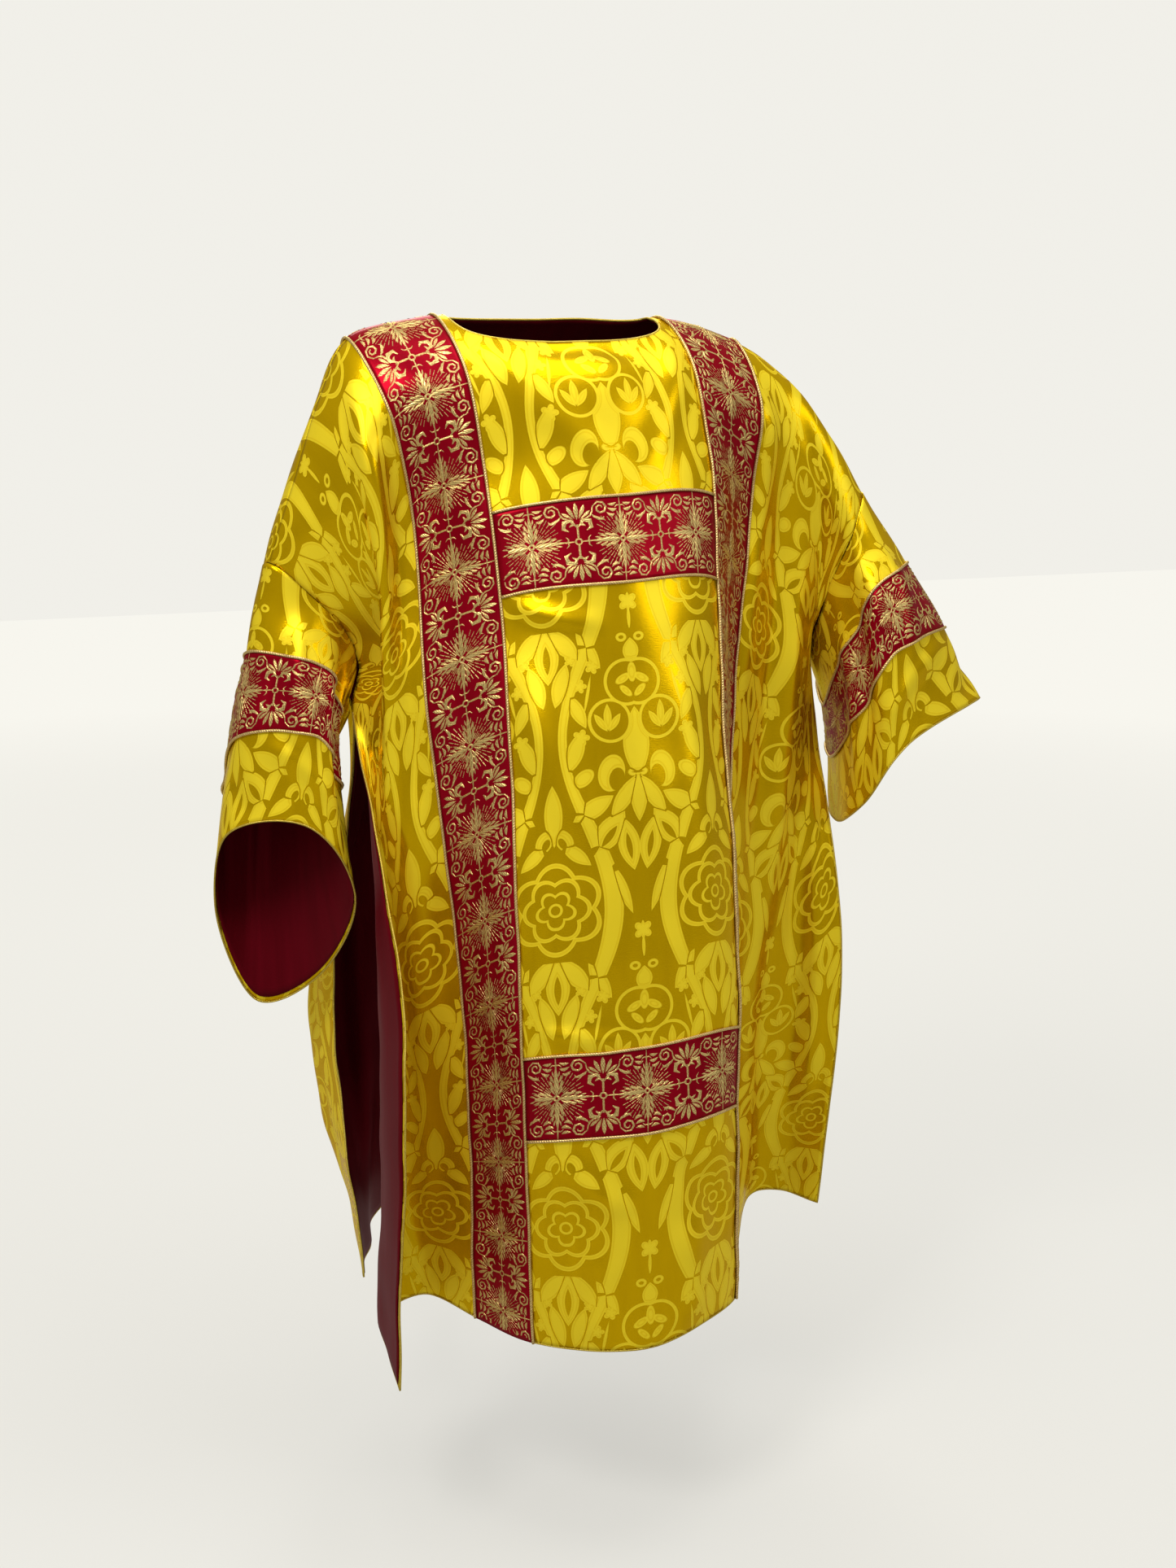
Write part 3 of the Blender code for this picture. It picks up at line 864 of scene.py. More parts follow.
DRAWN = Drawing()
OVAL, LEAF, FLOWER = Form.OVAL, Form.LEAF, Form.FLOWER
MASSES = (
    Part(LEAF, (0, -4), (10, 15)), Part(OVAL, (31, 133), (15, 21), -14), Part(OVAL, (0, 133), (12, 5.5)),
    Part(LEAF, (0, 100), (16.5, 41)), Part(LEAF, (0, 160), (10, 29)), Part(LEAF, (17, 160), (9, 29), -34),
    Part(LEAF, (13, 214), (13, 30), 10), Part(LEAF, (36, 200), (14, 30), -38),
    Part(LEAF, (52, 172), (10, 26), -58), Part(OVAL, (62, 138), (13, 8), 40),
    Part(LEAF, (70, 108), (9, 26), -20), Part(LEAF, (95, 178), (10, 34.5)),
    Part(OVAL, (84, 206), (9, 13), 28), Part(LEAF, (72, 222), (7.5, 20.5), 50),
    Part(LEAF, (95, -2), (13, 32.5)), Part(LEAF, (76, -14), (10, 26), 38),
    Part(LEAF, (82, 32), (9, 26), -16), Part(OVAL, (11, -20), (6.5, 5)),
    Part(LEAF, (50, -6), (7.5, 24), 30), Part(LEAF, (66, 62), (7.5, 21.5), 24),
    Part(LEAF, (24, 262), (6.5, 32.5), 22),
)
HOLLOWS = (
    Part(OVAL, (25, 140), (9, 13), -10), Part(OVAL, (0, 133), (7, 1.4)),
    Part(LEAF, (36, 204), (4, 15), -38), Part(OVAL, (86, 209), (4, 7), 28),
    Part(LEAF, (13, 216), (3.5, 16), 10), Part(OVAL, (11, -20), (3.2, 2.2)), Part(LEAF, (95, 2), (4, 17)),
)
SPRAYS = (
    Part(OVAL, (0, 20), (5.5, 11)), Part(OVAL, (12, 27), (4.5, 10), -62),
    Part(OVAL, (9, 41), (4, 9), -130), Part(LEAF, (33, 70), (4.5, 15)), Part(LEAF, (25, 76), (4, 12), -35),
    Part(LEAF, (41, 76), (4, 12), 35), Part(FLOWER, (47, 12), (8.5, 5)), Part(FLOWER, (70, 4), (7, 5)),
    Part(FLOWER, (62, 34), (8, 5)), Part(FLOWER, (63, 92), (9.5, 5)), Part(FLOWER, (0, 312), (12, 5)),
    Part(LEAF, (0, 330), (2, 14)), Part(LEAF, (54, 44), (1.6, 22), -12),
)
MEDALLION = (Part(OVAL, (8, 31), (27, 27)), Part(OVAL, (30, 74), (25, 25)))
ROSE_AT = (95, 283)
ROSE = (
    PetalRing(50.0, 6, 0.20, 0.0, 2.7),
    PetalRing(36.0, 6, 0.22, math.pi / 2, 2.3),
    PetalRing(21.0, 5, 0.34, 0.6, 1.7),
)
ROSE_EYE, ROSE_EYE_LINE = 6.5, 1.3


def petals(build: Tree, local: Socket, count: float, depth: float, phase: float) -> Socket:
    """Outline radius of a round flower, from 1 at a petal's tip down to 1 less depth between petals."""
    x, y, _ = build.axes(local)
    wave = build.math("SINE", build.line(build.math("ARCTAN2", y, x), count / 2, phase))
    return build.line(build.math("ABSOLUTE", wave), depth, 1 - depth)


def figure_part(build: Tree, place: Socket, part: Part) -> Socket:
    """Height of one shape over its outline, in metres: above zero inside it."""
    half = (part.half[0], part.half[0] if part.form is Form.FLOWER else part.half[1])
    size = min(half) / 1000
    local = build.seen_from(place, part.at, half, part.turn)
    if part.form is Form.LEAF:
        x, y, _ = build.axes(local)
        reach = build.math("ADD", build.math("ABSOLUTE", x), build.math("MULTIPLY", y, y))
    else:
        reach = build.length(local)
    if part.form is Form.FLOWER:
        lobes = petals(build, local, part.half[1], DRAWN.petal_depth, 0.0)
        return build.math("MULTIPLY", build.math("SUBTRACT", lobes, reach), size)
    return build.line(reach, -size, size)


def union(build: Tree, place: Socket, parts: Sequence[Part], start: Socket, grooved: bool = False) -> Socket:
    """The greatest height of several shapes and a first one, with a groove where two meet if asked."""
    out = start
    for part in parts:
        height = figure_part(build, place, part)
        top = build.most(out, height)
        if grooved:
            dip = build.line(build.gap(out, height), -1 / DRAWN.groove, 1.0, clamp=True)
            top = build.line(dip, -DRAWN.groove_depth, top)
        out = top
    return out


def damask_group() -> NodeTree:
    """The woven figure: medallions and roses by turns between waving branches, mirrored about each axis."""
    inputs = {"Cloth": ("NodeSocketVector", None)}
    tree, build, given, out = group("damask_figure", inputs, ("Figure", "Veins"))
    across, down, _ = build.axes(given.outputs[0])
    across = build.math("PINGPONG", across, DRAWN.repeat_across / 2)
    down = build.math("WRAP", down, DRAWN.repeat_top + DRAWN.repeat_down, DRAWN.repeat_top)
    down = build.math("SUBTRACT", down, DRAWN.origin)
    place = build.add("CombineXYZ", {0: across, 1: down}).outputs[0]

    turn = math.tau / DRAWN.repeat_down
    wave = build.math("COSINE", build.line(down, turn, -turn * ROSE_AT[1] / 1000))
    away = build.gap(across, build.line(wave, DRAWN.branch_swing, DRAWN.branch))
    branch = build.math("SUBTRACT", build.line(wave, DRAWN.branch_swell, DRAWN.branch_half), away)

    frame = build.most(*(figure_part(build, place, part) for part in MEDALLION))
    outline = build.math("SUBTRACT", DRAWN.line, build.gap(frame, DRAWN.line))

    local = build.seen_from(place, ROSE_AT, (1, 1))
    reach = build.length(local)
    rings = []
    for ring in ROSE:
        lobes = petals(build, local, ring.petals, ring.depth, ring.phase)
        rings.append(build.math("SUBTRACT", build.math("MULTIPLY", lobes, ring.radius), reach))
    outlines = [build.math("SUBTRACT", ring.line, build.math("ABSOLUTE", height))
                for ring, height in zip(ROSE, rings)]
    eye = build.math("SUBTRACT", ROSE_EYE_LINE, build.gap(reach, ROSE_EYE))
    rose_body = build.math("MULTIPLY", rings[0], 0.001)
    rose_lines = build.math("MULTIPLY", build.most(*outlines, eye), 0.001)

    masses = union(build, place, MASSES, branch, True)
    hollows = union(build, place, HOLLOWS, build.most(frame, rose_body))
    sprays = union(build, place, SPRAYS, build.most(outline, rose_lines))
    height = build.most(build.math("MINIMUM", masses, build.math("MULTIPLY", hollows, -1.0)), sprays)
    build.fill(out, {
        "Figure": build.line(height, 1 / DRAWN.edge, 0.5, clamp=True),
        "Veins": build.line(build.gap(height, DRAWN.vein), -1 / DRAWN.vein_half, 1.0, clamp=True),
    })
    return tree


# How the satin's noise is drawn out across and down the cloth, and the relief of its threads and of stitches
THREAD_SCALE = 900.0
THREAD_STRETCH, STREAK_STRETCH = (0.22, 1.0, 1.0), (60.0, 9.0, 1.0)
WEAVE_DEPTH, WEAVE_STRENGTH = 0.0002, 0.5
STITCH_DEPTH, STITCH_STRENGTH = 0.0004, 0.7


def weave_group() -> NodeTree:
    """Long satin floats, and streaks along which the materials paint uneven sheen into their colour, from
    the cloth's own map in metres.
    """
    inputs = {"Cloth": ("NodeSocketVector", None), "Thread": ("NodeSocketFloat", THREAD_SCALE)}
    tree, build, given, out = group("satin_weave", inputs, ("Height", "Sheen_streak"))
    cloth_map, thread, *_ = given.outputs
    build.fill(out, {
        "Height": build.noise(build.stretched(cloth_map, THREAD_STRETCH), thread, 2.0),
        # painted sheen: this streak noise moves the satin colours between a lit colour and a painted shade
        "Sheen_streak": build.noise(build.stretched(cloth_map, STREAK_STRETCH), 1.0, 3.0),
    })
    return tree


@dataclass(frozen=True)
class Finish:
    """What every finish shares."""

    name: str

    def start(self) -> tuple[Material, Tree, Node, Socket]:
        """A new material with its builder, its Principled shader and the cloth's own map."""
        material = bpy.data.materials.new(self.name)
        material.use_nodes = True
        build = Tree(material.node_tree)
        shader = material.node_tree.nodes["Principled BSDF"]
        return material, build, shader, build.add("TexCoord").outputs["UV"]


@dataclass(frozen=True)
class Damask(Finish):
    """Yellow satin ground with painted sheen along its streaks, and a paler, softer woven figure."""

    ground: Colour = (0.66, 0.415, 0.0010, 1.0)
    # the ground's darker copy below is painted shade, mixed in along the satin's streaks as painted sheen
    ground_painted_shade: Colour = (0.54, 0.325, 0.0008, 1.0)
    figure: Colour = (0.82, 0.62, 0.022, 1.0)
    sheen: Colour = (1.0, 0.80, 0.22, 1.0)
    sheen_level: float = 0.12
    roughness: Pair = (0.26, 0.44)
    metallic: Pair = (0.75, 0.45)
    vein_strength: float = 0.55

    def material(self, pattern: NodeTree, weave: NodeTree) -> Material:
        """The finished material."""
        material, build, shader, cloth_map = self.start()
        figure, veins = build.placed(pattern, cloth_map)
        height, sheen_streak = build.placed(weave, cloth_map)
        # painted sheen: the ground colour goes over to its painted shade along the streaks
        ground = build.mix(sheen_streak, self.ground_painted_shade, self.ground)
        pale = build.mix(build.math("MULTIPLY", veins, self.vein_strength), self.figure, self.ground)
        build.fill(shader, {
            "Base Color": build.mix(figure, ground, pale),
            "Roughness": build.mix(figure, *self.roughness, "FLOAT"),
            "Metallic": build.mix(figure, *self.metallic, "FLOAT"),
            "Specular IOR Level": self.sheen_level,
            "Specular Tint": self.sheen,
            "Normal": build.bump(height, WEAVE_DEPTH, WEAVE_STRENGTH),
        })
        return material


@dataclass(frozen=True)
class Satin(Finish):
    """Plain satin: a lit colour and a darker copy of it as painted shade, mixed along the satin's streaks as
    painted sheen.
    """

    # lit and shaded copies of the satin's colour: painted light and painted shade
    painted_lit: Colour
    painted_shaded: Colour
    roughness: float
    metallic: float
    sheen: Colour = (0.80, 0.16, 0.20, 1.0)
    sheen_level: float = 0.08
    uneven: float = 0.12

    def material(self, weave: NodeTree) -> Material:
        """The finished material."""
        material, build, shader, cloth_map = self.start()
        height, sheen_streak = build.placed(weave, cloth_map)
        build.fill(shader, {
            # painted sheen: the colour goes from its painted shade to its lit colour along the streaks
            "Base Color": build.mix(sheen_streak, self.painted_shaded, self.painted_lit),
            "Roughness": build.line(sheen_streak, self.uneven, self.roughness - self.uneven / 2),
            "Metallic": self.metallic,
            "Specular IOR Level": self.sheen_level,
            "Specular Tint": self.sheen,
            "Normal": build.bump(height, WEAVE_DEPTH, WEAVE_STRENGTH),
        })
        return material


@dataclass(frozen=True)
class Thread(Finish):
    """Metal thread laid in slanting stitches or twisted into a cord, with painted shade between its stitches
    and painted glints in its colour.
    """

    # the thread's lighter colour is painted highlight, its darker one painted shade
    painted_highlight: Colour
    painted_shade: Colour
    stitches: float
    slant: float = 2.0
    sheen: Colour = (1.0, 0.84, 0.45, 1.0)
    metallic: float = 0.75
    grain: float = 700.0
    glint: Pair = (1.6, -0.1)
    roughness: Pair = (0.25, 0.22)

    def material(self) -> Material:
        """The finished material."""
        material, build, shader, cloth_map = self.start()
        along, around, _ = build.axes(cloth_map)
        turn = build.line(along, self.stitches, build.math("MULTIPLY", around, self.slant))
        ridge = build.line(build.math("SINE", build.math("MULTIPLY", turn, math.tau)), 0.5, 0.5)
        speck = build.noise(build.add("TexCoord").outputs["Object"], self.grain, 1.0)
        # painted glints: small noise flecks that move the thread's colour between painted highlight and
        # painted shade
        glint = build.line(speck, *self.glint, clamp=True)
        # painted light and shade: the colour darkens in the grooves between stitches and brightens on their
        # crests
        painted_stitch_light = build.math("MULTIPLY", build.line(ridge, 0.5, 0.5), glint, clamp=True)
        build.fill(shader, {
            "Base Color": build.mix(painted_stitch_light, self.painted_shade, self.painted_highlight),
            "Metallic": self.metallic,
            "Specular Tint": self.sheen,
            "Roughness": build.line(speck, *self.roughness),
            "Normal": build.bump(ridge, STITCH_DEPTH, STITCH_STRENGTH),
        })
        return material


@dataclass(frozen=True)
class Paint(Finish):
    """The pale floor, with a glow that grows with distance and sheds only a share of its light on things."""

    colour: Colour = (0.22, 0.217, 0.205, 1.0)
    cloud: float = 0.985
    cloud_scale: float = 0.6
    roughness: float = 0.9
    glow: Colour = (0.70, 0.69, 0.645, 1.0)
    glow_far: Pair = (0.22, -0.35)
    glow_gain: Pair = (0.34, 0.78)
    shed: float = 0.5

    def material(self) -> Material:
        """The finished material."""
        material, build, shader, _ = self.start()
        place = build.add("TexCoord").outputs["Object"]
        clouded = tuple(self.cloud * c for c in self.colour[:3]) + (1.0,)
        glow = build.line(build.line(build.length(place), *self.glow_far, clamp=True), *self.glow_gain)
        seen = build.add("LightPath").outputs["Is Camera Ray"]
        build.fill(shader, {
            "Base Color": build.mix(build.noise(place, self.cloud_scale, 2.0), self.colour, clouded),
            "Roughness": self.roughness,
            "Emission Color": self.glow,
            "Emission Strength": build.mix(seen, build.math("MULTIPLY", glow, self.shed), glow, "FLOAT"),
        })
        return material


class Wardrobe:
    """The garment's cloths and threads, each made once."""

    def __init__(self) -> None:
        """Builds the shared effects and the materials."""
        weave = weave_group()
        gold = Damask("yellow_damask").material(damask_group(), weave)
        # each satin gets a lit colour and a darker copy of it as painted shade
        lining = Satin("lining_satin", (0.130, 0.0025, 0.008, 1.0), (0.075, 0.0015, 0.004, 1.0), 0.5, 0.2)
        red = Satin("band_satin", (0.30, 0.0020, 0.012, 1.0), (0.16, 0.0010, 0.005, 1.0), 0.34, 0.4)
        # each thread gets a lighter colour as painted highlight and a darker one as painted shade
        stitching = Thread("gold_stitching", (0.92, 0.70, 0.28, 1.0), (0.22, 0.12, 0.02, 1.0), 260.0, 1.2)
        cord = Thread("twisted_gold_cord", (0.90, 0.68, 0.30, 1.0), (0.24, 0.13, 0.03, 1.0), 330.0)
        piping = Thread("edge_piping", (0.72, 0.56, 0.10, 1.0), (0.34, 0.22, 0.02, 1.0), 450.0)
        self.gold = Goods(gold, GOLD_SLOT, Layer.CLOTH)
        self.lining = Goods(lining.material(weave), "dark_red_lining", Layer.LINING)
        self.red = Goods(red.material(weave), "red_satin", Layer.BAND)
        self.stitching, self.cord, self.piping = (thread.material() for thread in (stitching, cord, piping))


def lines(start: float, end: float, step: float) -> Array:
    """Evenly spaced places from start to end, about a step apart."""
    return np.linspace(start, end, max(2, round(abs(end - start) / step) + 1))


# Folds in millimetres of the cut: start across and down, end across and down, height, reach and bow
FOLDS = (
    (-275, 20, -300, 420, 10.1, 16, 8), (-330, 60, -335, 500, -8.7, 15, -6),
    (-262, 120, -268, 620, -5.8, 12), (-280, 450, -300, 1220, 8.7, 18, 6),
    (-345, 550, -350, 1250, -8.7, 18), (-130, 60, 20, 240, 5.1, 18, 14), (135, 50, 30, 250, 5.1, 18, -14),
    (-70, 90, 75, 100, -3.6, 14, -10), (-135, 375, -20, 410, 5.1, 10, 8),
    (-120, 430, -40, 700, 5.8, 22, 10), (60, 420, 75, 860, 5.8, 24, -10), (-125, 865, -20, 885, 5.1, 9, 4),
    (-110, 1010, -10, 1090, 5.8, 16, 10), (20, 1020, 120, 1160, -5.8, 18, -10),
    (50, 1100, 55, 1260, 7.2, 22), (-60, 1120, -65, 1260, 5.8, 20), (262, 40, 272, 520, 7.2, 14, 6),
    (300, 100, 325, 700, -8.7, 18, -8), (355, 160, 375, 800, 8.7, 18, 8), (272, 500, 285, 1240, -7.2, 16),
    (345, 620, 350, 1250, 8.7, 18, -6), (425, 520, 430, 1200, -8.7, 18), (460, 550, 465, 1100, 5.8, 12),
    (-270, -30, -300, -550, 11.3, 20.7, -8), (-330, -80, -345, -620, -11.3, 20.7, 6),
    (-385, -500, -395, -1220, 13.1, 25.3), (-290, -600, -300, -1250, -11.3, 23, 10),
    (-100, -50, -60, -600, 9.4, 29.9, 12), (0, -70, 6, -850, -11.3, 34.5, 10),
    (100, -50, 70, -660, 9.4, 29.9, -12), (-70, -620, -80, -1250, -11.3, 29.9, 12),
    (60, -580, 80, -1250, 13.1, 32.2, -10), (-20, -1000, 0, -1260, 9.4, 23),
    (270, -40, 290, -600, 11.3, 20.7, 8), (330, -100, 345, -660, -11.3, 20.7, -6),
    (300, -600, 310, -1250, 13.1, 25.3, 10), (380, -560, 390, -1220, -11.3, 23),
)
SLEEVE_FOLDS = (
    (60, 10, 100, 260, 8.7, 16, 10), (130, 0, 200, 300, -7.2, 18, -8), (200, 60, 240, 300, 7.2, 16, 6),
    (-50, 20, -30, 200, -5.8, 16), (-110, 20, -140, 300, 8.7, 20, -8), (-200, 40, -230, 300, -7.2, 18, 6),
    (30, 220, 160, 270, 4.3, 12, 6), (-20, 240, 40, 315, -5.8, 16),
)
CREASES = (
    *map(fold, FOLDS),
    Ripple((38.0, 11.0), 0.4, 0.0009),
    Ripple((-21.0, 33.0), 1.9, 0.0008),
    Ripple((63.0, -27.0), 4.1, 0.0005),
    Ripple((9.0, 71.0), 2.6, 0.0004),
)
SLEEVE_CREASES = (
    *map(fold, SLEEVE_FOLDS),
    Ripple((41.0, 23.0), 1.1, 0.0009),
    Ripple((-26.0, 57.0), 3.0, 0.0006),
)


# Shares of the neck's half width: its flat middle, and the lines close together in its rounded corners
NECK_FLAT = 0.92
NECK_STEEP = (0.947, 0.967, 0.982, 0.992, 0.9977, 1.0)


def neck_edge(u: Array, depth: float) -> Array:
    """How far down the neck opening reaches, a rounded square of a given depth."""
    return depth * np.clip(1 - (np.abs(u) / CUT.neck_half) ** 4, 0, 1) ** 0.25


def neck_columns(step: float) -> Array:
    """Lines across the neck opening, closer together where its sides grow steep."""
    steep = CUT.neck_half * np.array(NECK_STEEP)
    flat = NECK_FLAT * CUT.neck_half
    return np.concatenate([-steep[::-1], lines(-flat, flat, step), steep])


def under_neck(u: Array, v: Array) -> Array:
    """Bends lines of the front or back down, so that they follow the neck opening.

    Args:
        u: Places across the cut.
        v: Places down from the shoulder line, negative behind.

    Returns:
        The places down after bending.
    """
    top = np.where(v > 0, neck_edge(u, CUT.neck_front), neck_edge(u, CUT.neck_behind))
    down = np.abs(v)
    eased = np.where(down > CUT.neck_ease, down, top + down * (1 - top / CUT.neck_ease))
    return np.sign(v) * eased


def ring_line(sheet: Sheet, along: float, step: float, lift: float) -> Array:
    """Points of a line round a sleeve, whose last point is its first."""
    turns = lines(-1, 1, step)
    points = sheet.at(turns, np.full(len(turns), along), lift)
    points[-1] = points[0]
    return points


@dataclass
class Bands:
    """The embroidered bands of the garment: satin, twisted cords and gold figures."""

    wardrobe: Wardrobe
    pitch: float = 0.10
    figure_reach: float = 0.03
    end_gap: float = 0.003
    satin_step: float = 0.006
    cord_radius: float = 0.0018
    cord_rise: float = 0.4
    cord_step: float = 0.005
    round_figures: int = 7
    round_satin_steps: Pair = (0.018, 0.019)
    round_cord_step: float = 0.014
    motifs: tuple[Motif, Motif] = field(init=False)

    def __post_init__(self) -> None:
        """Makes the two figures once."""
        self.motifs = Motif("star", star_strokes()), Motif("palmette", palmette_strokes())

    def finish(self, name: str, figures: Mesh, runs: Iterable[Array]) -> None:
        """Keeps a band's figures and makes its cords."""
        keep(figures, f"{name}_embroidery", self.wardrobe.stitching)
        rope(f"{name}_cords", runs, self.cord_radius, self.wardrobe.cord)

    @property
    def lift(self) -> float:
        """Height of the cords' middle lines above the sheet."""
        return Layer.BAND.lift + self.cord_rise * self.cord_radius

    def straight(self, name: str, node: str, sheet: Sheet, us: Pair, vs: Pair, upright: bool,
                 first: float) -> None:
        """A band on the body, with its figures and the cords along its two edges.

        Args:
            name: Name of the band.
            node: The solid that it stands for.
            sheet: The body sheet.
            us: Its edges across, or its ends where it crosses.
            vs: Its ends down, or its edges where it crosses.
            upright: Whether it runs down the garment.
            first: Place along it of one of its stars.
        """
        vs = tuple(sorted(vs))
        cloth(name, node, sheet, lines(*us, self.satin_step), lines(*vs, self.satin_step), self.wardrobe.red)
        (start, end), edges = (vs, us) if upright else (us, vs)
        middle = 0.5 * (edges[0] + edges[1])
        bm = bmesh.new()
        spare = []
        base = first + math.floor((start - first) / self.pitch) * self.pitch
        for k in range(2 * math.ceil((end - start) / self.pitch) + 4):
            at = base + k * self.pitch / 2
            if start - self.figure_reach < at < end + self.figure_reach:
                motif = self.motifs[k % 2]
                along, across = at + motif.flat[:, 0], middle + motif.flat[:, 1]
                points = motif.stamp(bm, sheet, *((across, along) if upright else (along, across)))
                spare += [point for point, place in zip(points, along)
                          if not start + self.end_gap <= place <= end - self.end_gap]
        bmesh.ops.delete(bm, geom=spare, context="VERTS")
        run = lines(start, end, self.cord_step)
        runs = []
        for edge in edges:
            side = np.full(len(run), edge)
            runs.append(sheet.at(*((side, run) if upright else (run, side)), self.lift))
        self.finish(name, bm, runs)

    def round(self, name: str, node: str, sheet: Sheet) -> None:
        """The band round a sleeve, with its figures and cords.

        Args:
            name: Name of the band.
            node: The solid that it stands for.
            sheet: The sleeve's sheet.
        """
        low = CUT.sleeve_band / CUT.sleeve_length
        high = low + CUT.band / CUT.sleeve_length
        steps = self.round_satin_steps
        cloth(name, node, sheet, lines(-1, 1, steps[0]), lines(low, high, steps[1]), self.wardrobe.red)
        bm = bmesh.new()
        for k in range(2 * self.round_figures):
            motif = self.motifs[k % 2]
            turn = (k + motif.flat[:, 0] / (self.pitch / 2)) / self.round_figures
            motif.stamp(bm, sheet, turn, 0.5 * (low + high) + motif.flat[:, 1] / CUT.sleeve_length)
        runs = [ring_line(sheet, edge, self.round_cord_step, self.lift) for edge in (low, high)]
        self.finish(name, bm, runs)


PIPING_LIFT, PIPING_RADIUS = 0.0006, 0.0013
NECK_PIPING_RADIUS, NECK_PIPING_STEP = 0.0015, 0.005


def pipe(name: str, points: Array, wardrobe: Wardrobe, radius: float = PIPING_RADIUS) -> None:
    """The narrow piping along one edge of the cloth."""
    rope(f"{name}_piping", [points], radius, wardrobe.piping, sides=6)


@dataclass
class Panel:
    """The front or the back: damask, lining, edge piping and bands."""

    name: str
    facing: int
    sheet: Sheet
    wardrobe: Wardrobe
    cloth_step: float = 0.0068
    lining_step: float = 0.0092
    lining_top: float = 0.001
    piping_step: float = 0.006
    first_star: float = 0.02

    def build(self, bands: Bands) -> None:
        """Makes the panel's pieces.

        Args:
            bands: Makes the bands that are sewn on it.
        """
        plans = (
            ("cloth", f"{self.name}_panel", self.wardrobe.gold, self.cloth_step, CUT.seam, 0.0),
            ("lining", f"lining_{self.name}", self.wardrobe.lining, self.lining_step, self.lining_top,
             CUT.lining_back),
        )
        for part, node, goods, step, top, back in plans:
            us = self.columns(CUT.half_width - CUT.seam - back, step)
            ends = sorted((self.facing * top, self.facing * (CUT.length - back)))
            cloth(f"{self.name}_{part}", node, self.sheet, us, lines(*ends, step), goods,
                  under_neck)
        self.piping()
        self.sew_bands(bands)

    @staticmethod
    def columns(half: float, step: float) -> Array:
        """Lines across the panel, one of them at each side of the neck opening."""
        beside = lines(CUT.neck_half, half, step)[1:]
        return np.concatenate([-beside[::-1], neck_columns(step), beside])

    def piping(self) -> None:
        """The narrow piping along the open sides and the hem."""
        down = lines(CUT.armhole, CUT.length, self.piping_step)
        across = lines(-CUT.half_width, CUT.half_width, self.piping_step)
        side = np.full(len(down), CUT.half_width)
        u = np.concatenate([-side, across[1:-1], side])
        v = np.concatenate([down, np.full(len(across) - 2, CUT.length), down[::-1]]) * self.facing
        pipe(self.name, self.sheet.at(u, v, PIPING_LIFT), self.wardrobe)

    def sew_bands(self, bands: Bands) -> None:
        """The two vertical bands and the two between them."""
        inner, outer = CUT.band_inner, CUT.band_inner + CUT.band
        ends = (self.facing * CUT.seam, self.facing * CUT.length)
        plans = [("right", (-outer, -inner), ends, True), ("left", (inner, outer), ends, True)]
        reach = inner - bands.cord_radius
        upper = "chest" if self.facing > 0 else "upper"
        for word, top in ((upper, CUT.upper_band), ("lower", CUT.lower_band)):
            plans.append((word, (-reach, reach), (self.facing * top, self.facing * (top + CUT.band)), False))
        for word, us, vs, upright in plans:
            name, node = f"{self.name}_band_{word}", f"orphrey_{self.name}_{word}"
            bands.straight(name, node, self.sheet, us, vs, upright, self.first_star if upright else 0.0)


@dataclass
class Sleeve:
    """A wide closed sleeve: damask, lining, cuff piping and its band."""

    word: str
    sheet: Sheet
    wardrobe: Wardrobe
    cloth_step: float = 0.018
    cloth_ends: Pair = (0.001, 1.0)
    lining_step: float = 0.024
    lining_ends: Pair = (0.013, 0.987)
    piping_step: float = 0.016

    def build(self, bands: Bands) -> None:
        """Makes the sleeve's pieces.

        Args:
            bands: Makes the band that is sewn on it.
        """
        name = f"sleeve_{self.word}"
        plans = (
            ("cloth", name, self.wardrobe.gold, self.cloth_step, self.cloth_ends),
            ("lining", f"lining_{name}", self.wardrobe.lining, self.lining_step, self.lining_ends),
        )
        for part, node, goods, step, ends in plans:
            cloth(f"{name}_{part}", node, self.sheet, lines(-1, 1, step), lines(*ends, step), goods)
        pipe(name, ring_line(self.sheet, 1.0, self.piping_step, PIPING_LIFT), self.wardrobe)
        bands.round(f"{name}_band", f"orphrey_{name}", self.sheet)


def neck_piping(sheet: Sheet, wardrobe: Wardrobe) -> None:
    """The piping round the neck opening."""
    u = neck_columns(NECK_PIPING_STEP)
    front, behind = neck_edge(u, CUT.neck_front), neck_edge(u, CUT.neck_behind)
    across = np.concatenate([u, u[-2:0:-1], u[:1]])
    down = np.concatenate([front, -behind[-2:0:-1], front[:1]])
    points = sheet.at(across, down, PIPING_LIFT)
    points[-1] = points[0]
    pipe("neck", points, wardrobe, NECK_PIPING_RADIUS)


@dataclass(frozen=True)
class Lamp:
    """One round soft light: its place, width, power and colour."""

    name: str
    place: tuple[float, float, float]
    size: float
    power: float
    colour: tuple[float, float, float] = (1.0, 1.0, 1.0)


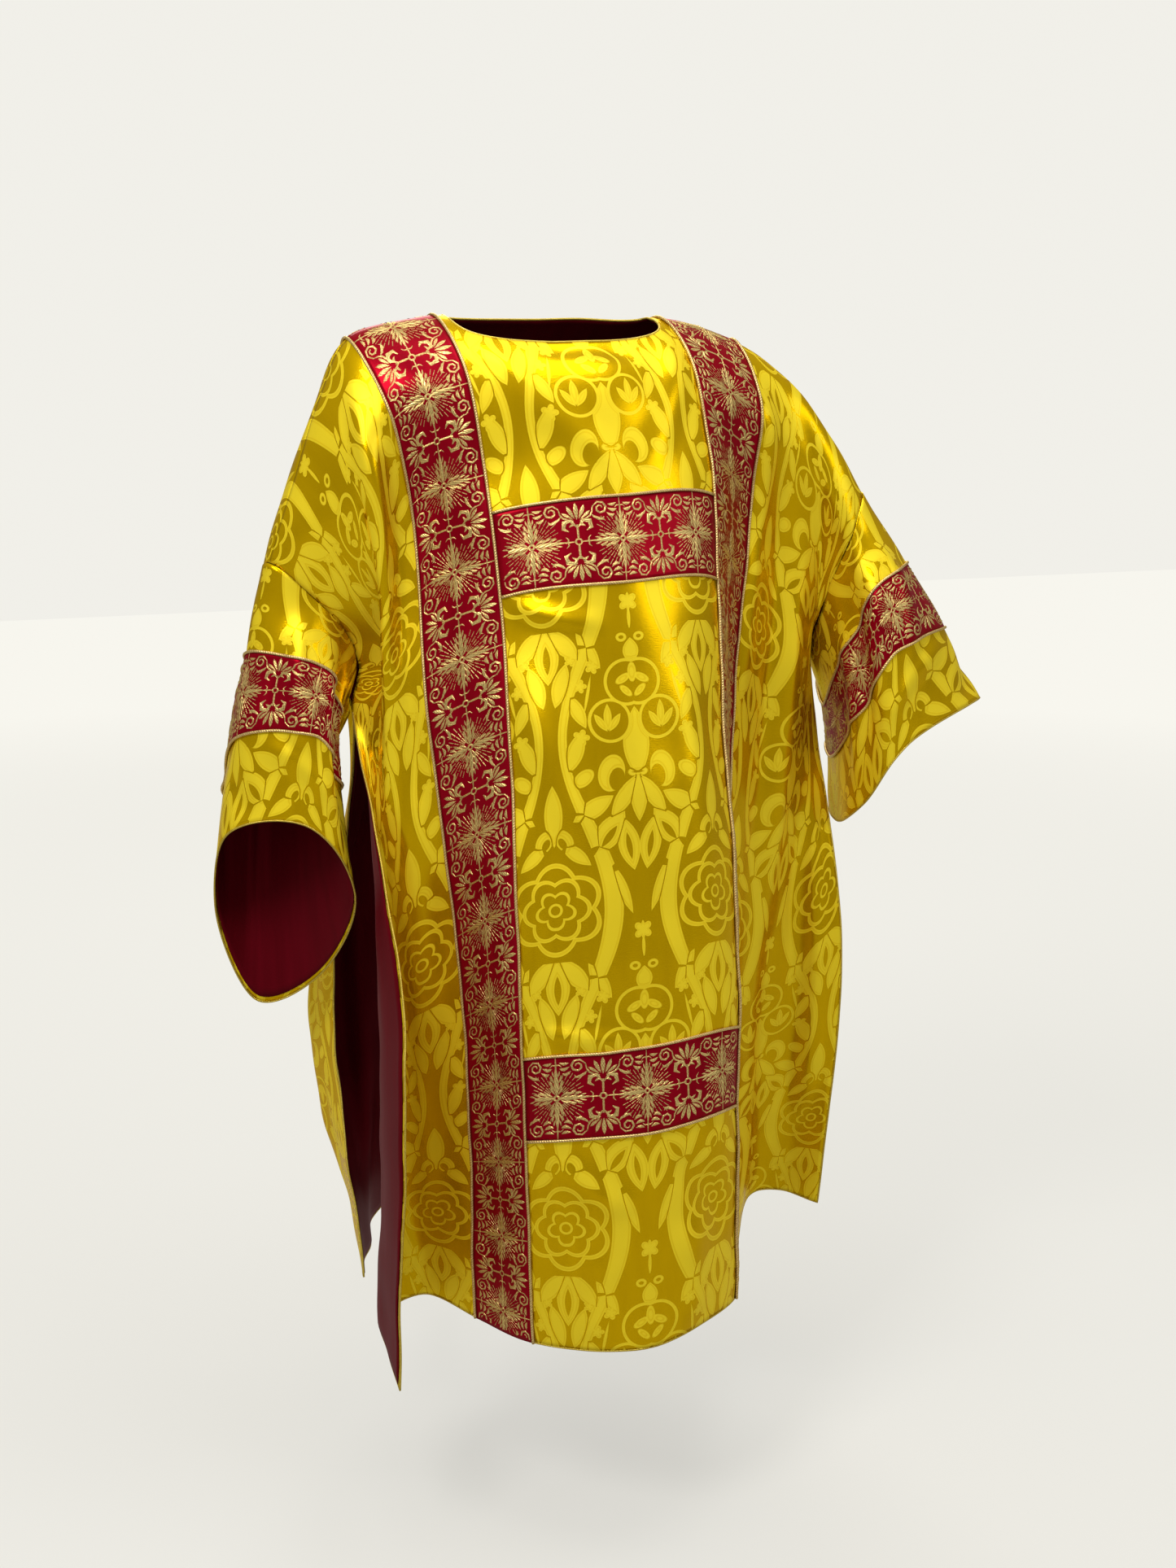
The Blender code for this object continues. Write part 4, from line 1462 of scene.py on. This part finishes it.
@dataclass(frozen=True)
class Studio:
    """Pale floor, soft lights and the camera at the photograph's angle."""

    lamps: tuple[Lamp, ...] = (
        Lamp("key", (-1.5, -1.5, 1.45), 0.9, 50.0, (1.0, 0.985, 0.96)),
        Lamp("fill", (2.4, -2.3, 0.9), 1.6, 18.0, (0.97, 0.98, 1.0)),
        Lamp("top", (0.2, -0.5, 1.7), 1.2, 22.0),
        Lamp("rear", (0.8, 2.8, 1.4), 2.0, 44.0),
    )
    aim: tuple[float, float, float] = (0.0, 0.0, -0.35)
    sky: Colour = (1.0, 0.985, 0.925, 1.0)
    sky_seen: float = 0.88
    sky_rise: float = 0.40
    sky_level: float = 0.30
    floor_height: float = -1.44
    floor_half: float = 9.0
    distance: float = 2.57
    camera_height: float = -0.035
    bearing: float = -20.0
    pitch: float = 11.6
    yaw: float = 1.08
    sensor: float = 24.0
    focal_pixels: float = 2625.0
    image_height: float = 1927.0

    def build(self) -> None:
        """Adds the floor, the lights, the sky and the camera."""
        self.floor()
        for lamp in self.lamps:
            self.light(lamp)
        self.world()
        self.camera()

    def floor(self) -> None:
        """A wide pale floor that is not part of the object."""
        bm = bmesh.new()
        bmesh.ops.create_grid(bm, x_segments=2, y_segments=2, size=self.floor_half)
        bmesh.ops.translate(bm, verts=bm.verts[:], vec=(0.0, 0.0, self.floor_height))
        mesh = bpy.data.meshes.new("floor")
        bm.to_mesh(mesh)
        bm.free()
        mesh.materials.append(Paint("pale_floor").material())
        piece = bpy.data.objects.new("floor", mesh)
        bpy.context.scene.collection.objects.link(piece)

    def light(self, lamp: Lamp) -> None:
        """Adds one light, turned to the garment."""
        light = bpy.data.lights.new(lamp.name, "AREA")
        light.shape = "DISK"
        light.size, light.energy, light.color = lamp.size, lamp.power, lamp.colour
        holder = bpy.data.objects.new(lamp.name, light)
        holder.location = lamp.place
        holder.rotation_euler = (Vector(self.aim) - Vector(lamp.place)).to_track_quat("-Z", "Y").to_euler()
        bpy.context.scene.collection.objects.link(holder)

    def world(self) -> None:
        """A pale even backdrop for the camera, and a sky for reflections that brightens upwards."""
        world = bpy.data.worlds.new("studio")
        world.use_nodes = True
        build = Tree(world.node_tree)
        seen = build.add("LightPath").outputs["Is Camera Ray"]
        _, _, upwards = build.axes(build.add("TexCoord").outputs["Generated"])
        sky = build.line(upwards, self.sky_rise, self.sky_level)
        build.fill(world.node_tree.nodes["Background"], {
            "Color": self.sky,
            "Strength": build.mix(seen, sky, self.sky_seen, "FLOAT"),
        })
        bpy.context.scene.world = world
        bpy.context.scene.view_settings.view_transform = "Standard"

    def camera(self) -> None:
        """The camera, aimed a little to the right of the garment's axis."""
        lens = bpy.data.cameras.new("camera")
        lens.sensor_fit = "VERTICAL"
        lens.sensor_height = self.sensor
        lens.lens = self.sensor * self.focal_pixels / self.image_height
        view = bpy.data.objects.new("camera", lens)
        bearing = math.radians(self.bearing)
        aside, back = self.distance * math.sin(bearing), self.distance * math.cos(bearing)
        view.location = (aside, -back, self.camera_height)
        view.rotation_euler = (math.radians(90 - self.pitch), 0.0, bearing - math.radians(self.yaw))
        bpy.context.scene.collection.objects.link(view)
        bpy.context.scene.camera = view


BODY_STEP = (0.005, 0.005)
SLEEVE_STEP = (0.01, 0.016)


def main() -> None:
    """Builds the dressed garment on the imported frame."""
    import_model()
    wardrobe = Wardrobe()
    body = Sheet((-CUT.half_width, CUT.half_width), (-CUT.length, CUT.length), BODY_STEP, body_places, 1,
                 CREASES)
    bands = Bands(wardrobe)
    Panel("front", 1, body, wardrobe).build(bands)
    Panel("back", -1, body, wardrobe).build(bands)
    for side, word in ((-1, "right"), (1, "left")):
        sheet = Sheet((-1.0, 1.0), (0.0, 1.0), SLEEVE_STEP, partial(sleeve_places, side), -side,
                      SLEEVE_CREASES, (CUT.sleeve_half_round, CUT.sleeve_length), closed=True)
        Sleeve(word, sheet, wardrobe).build(bands)
    neck_piping(body, wardrobe)
    Studio().build()


if __name__ == "__main__":
    logging.basicConfig(level=logging.INFO, format="%(name)s: %(message)s")
    main()
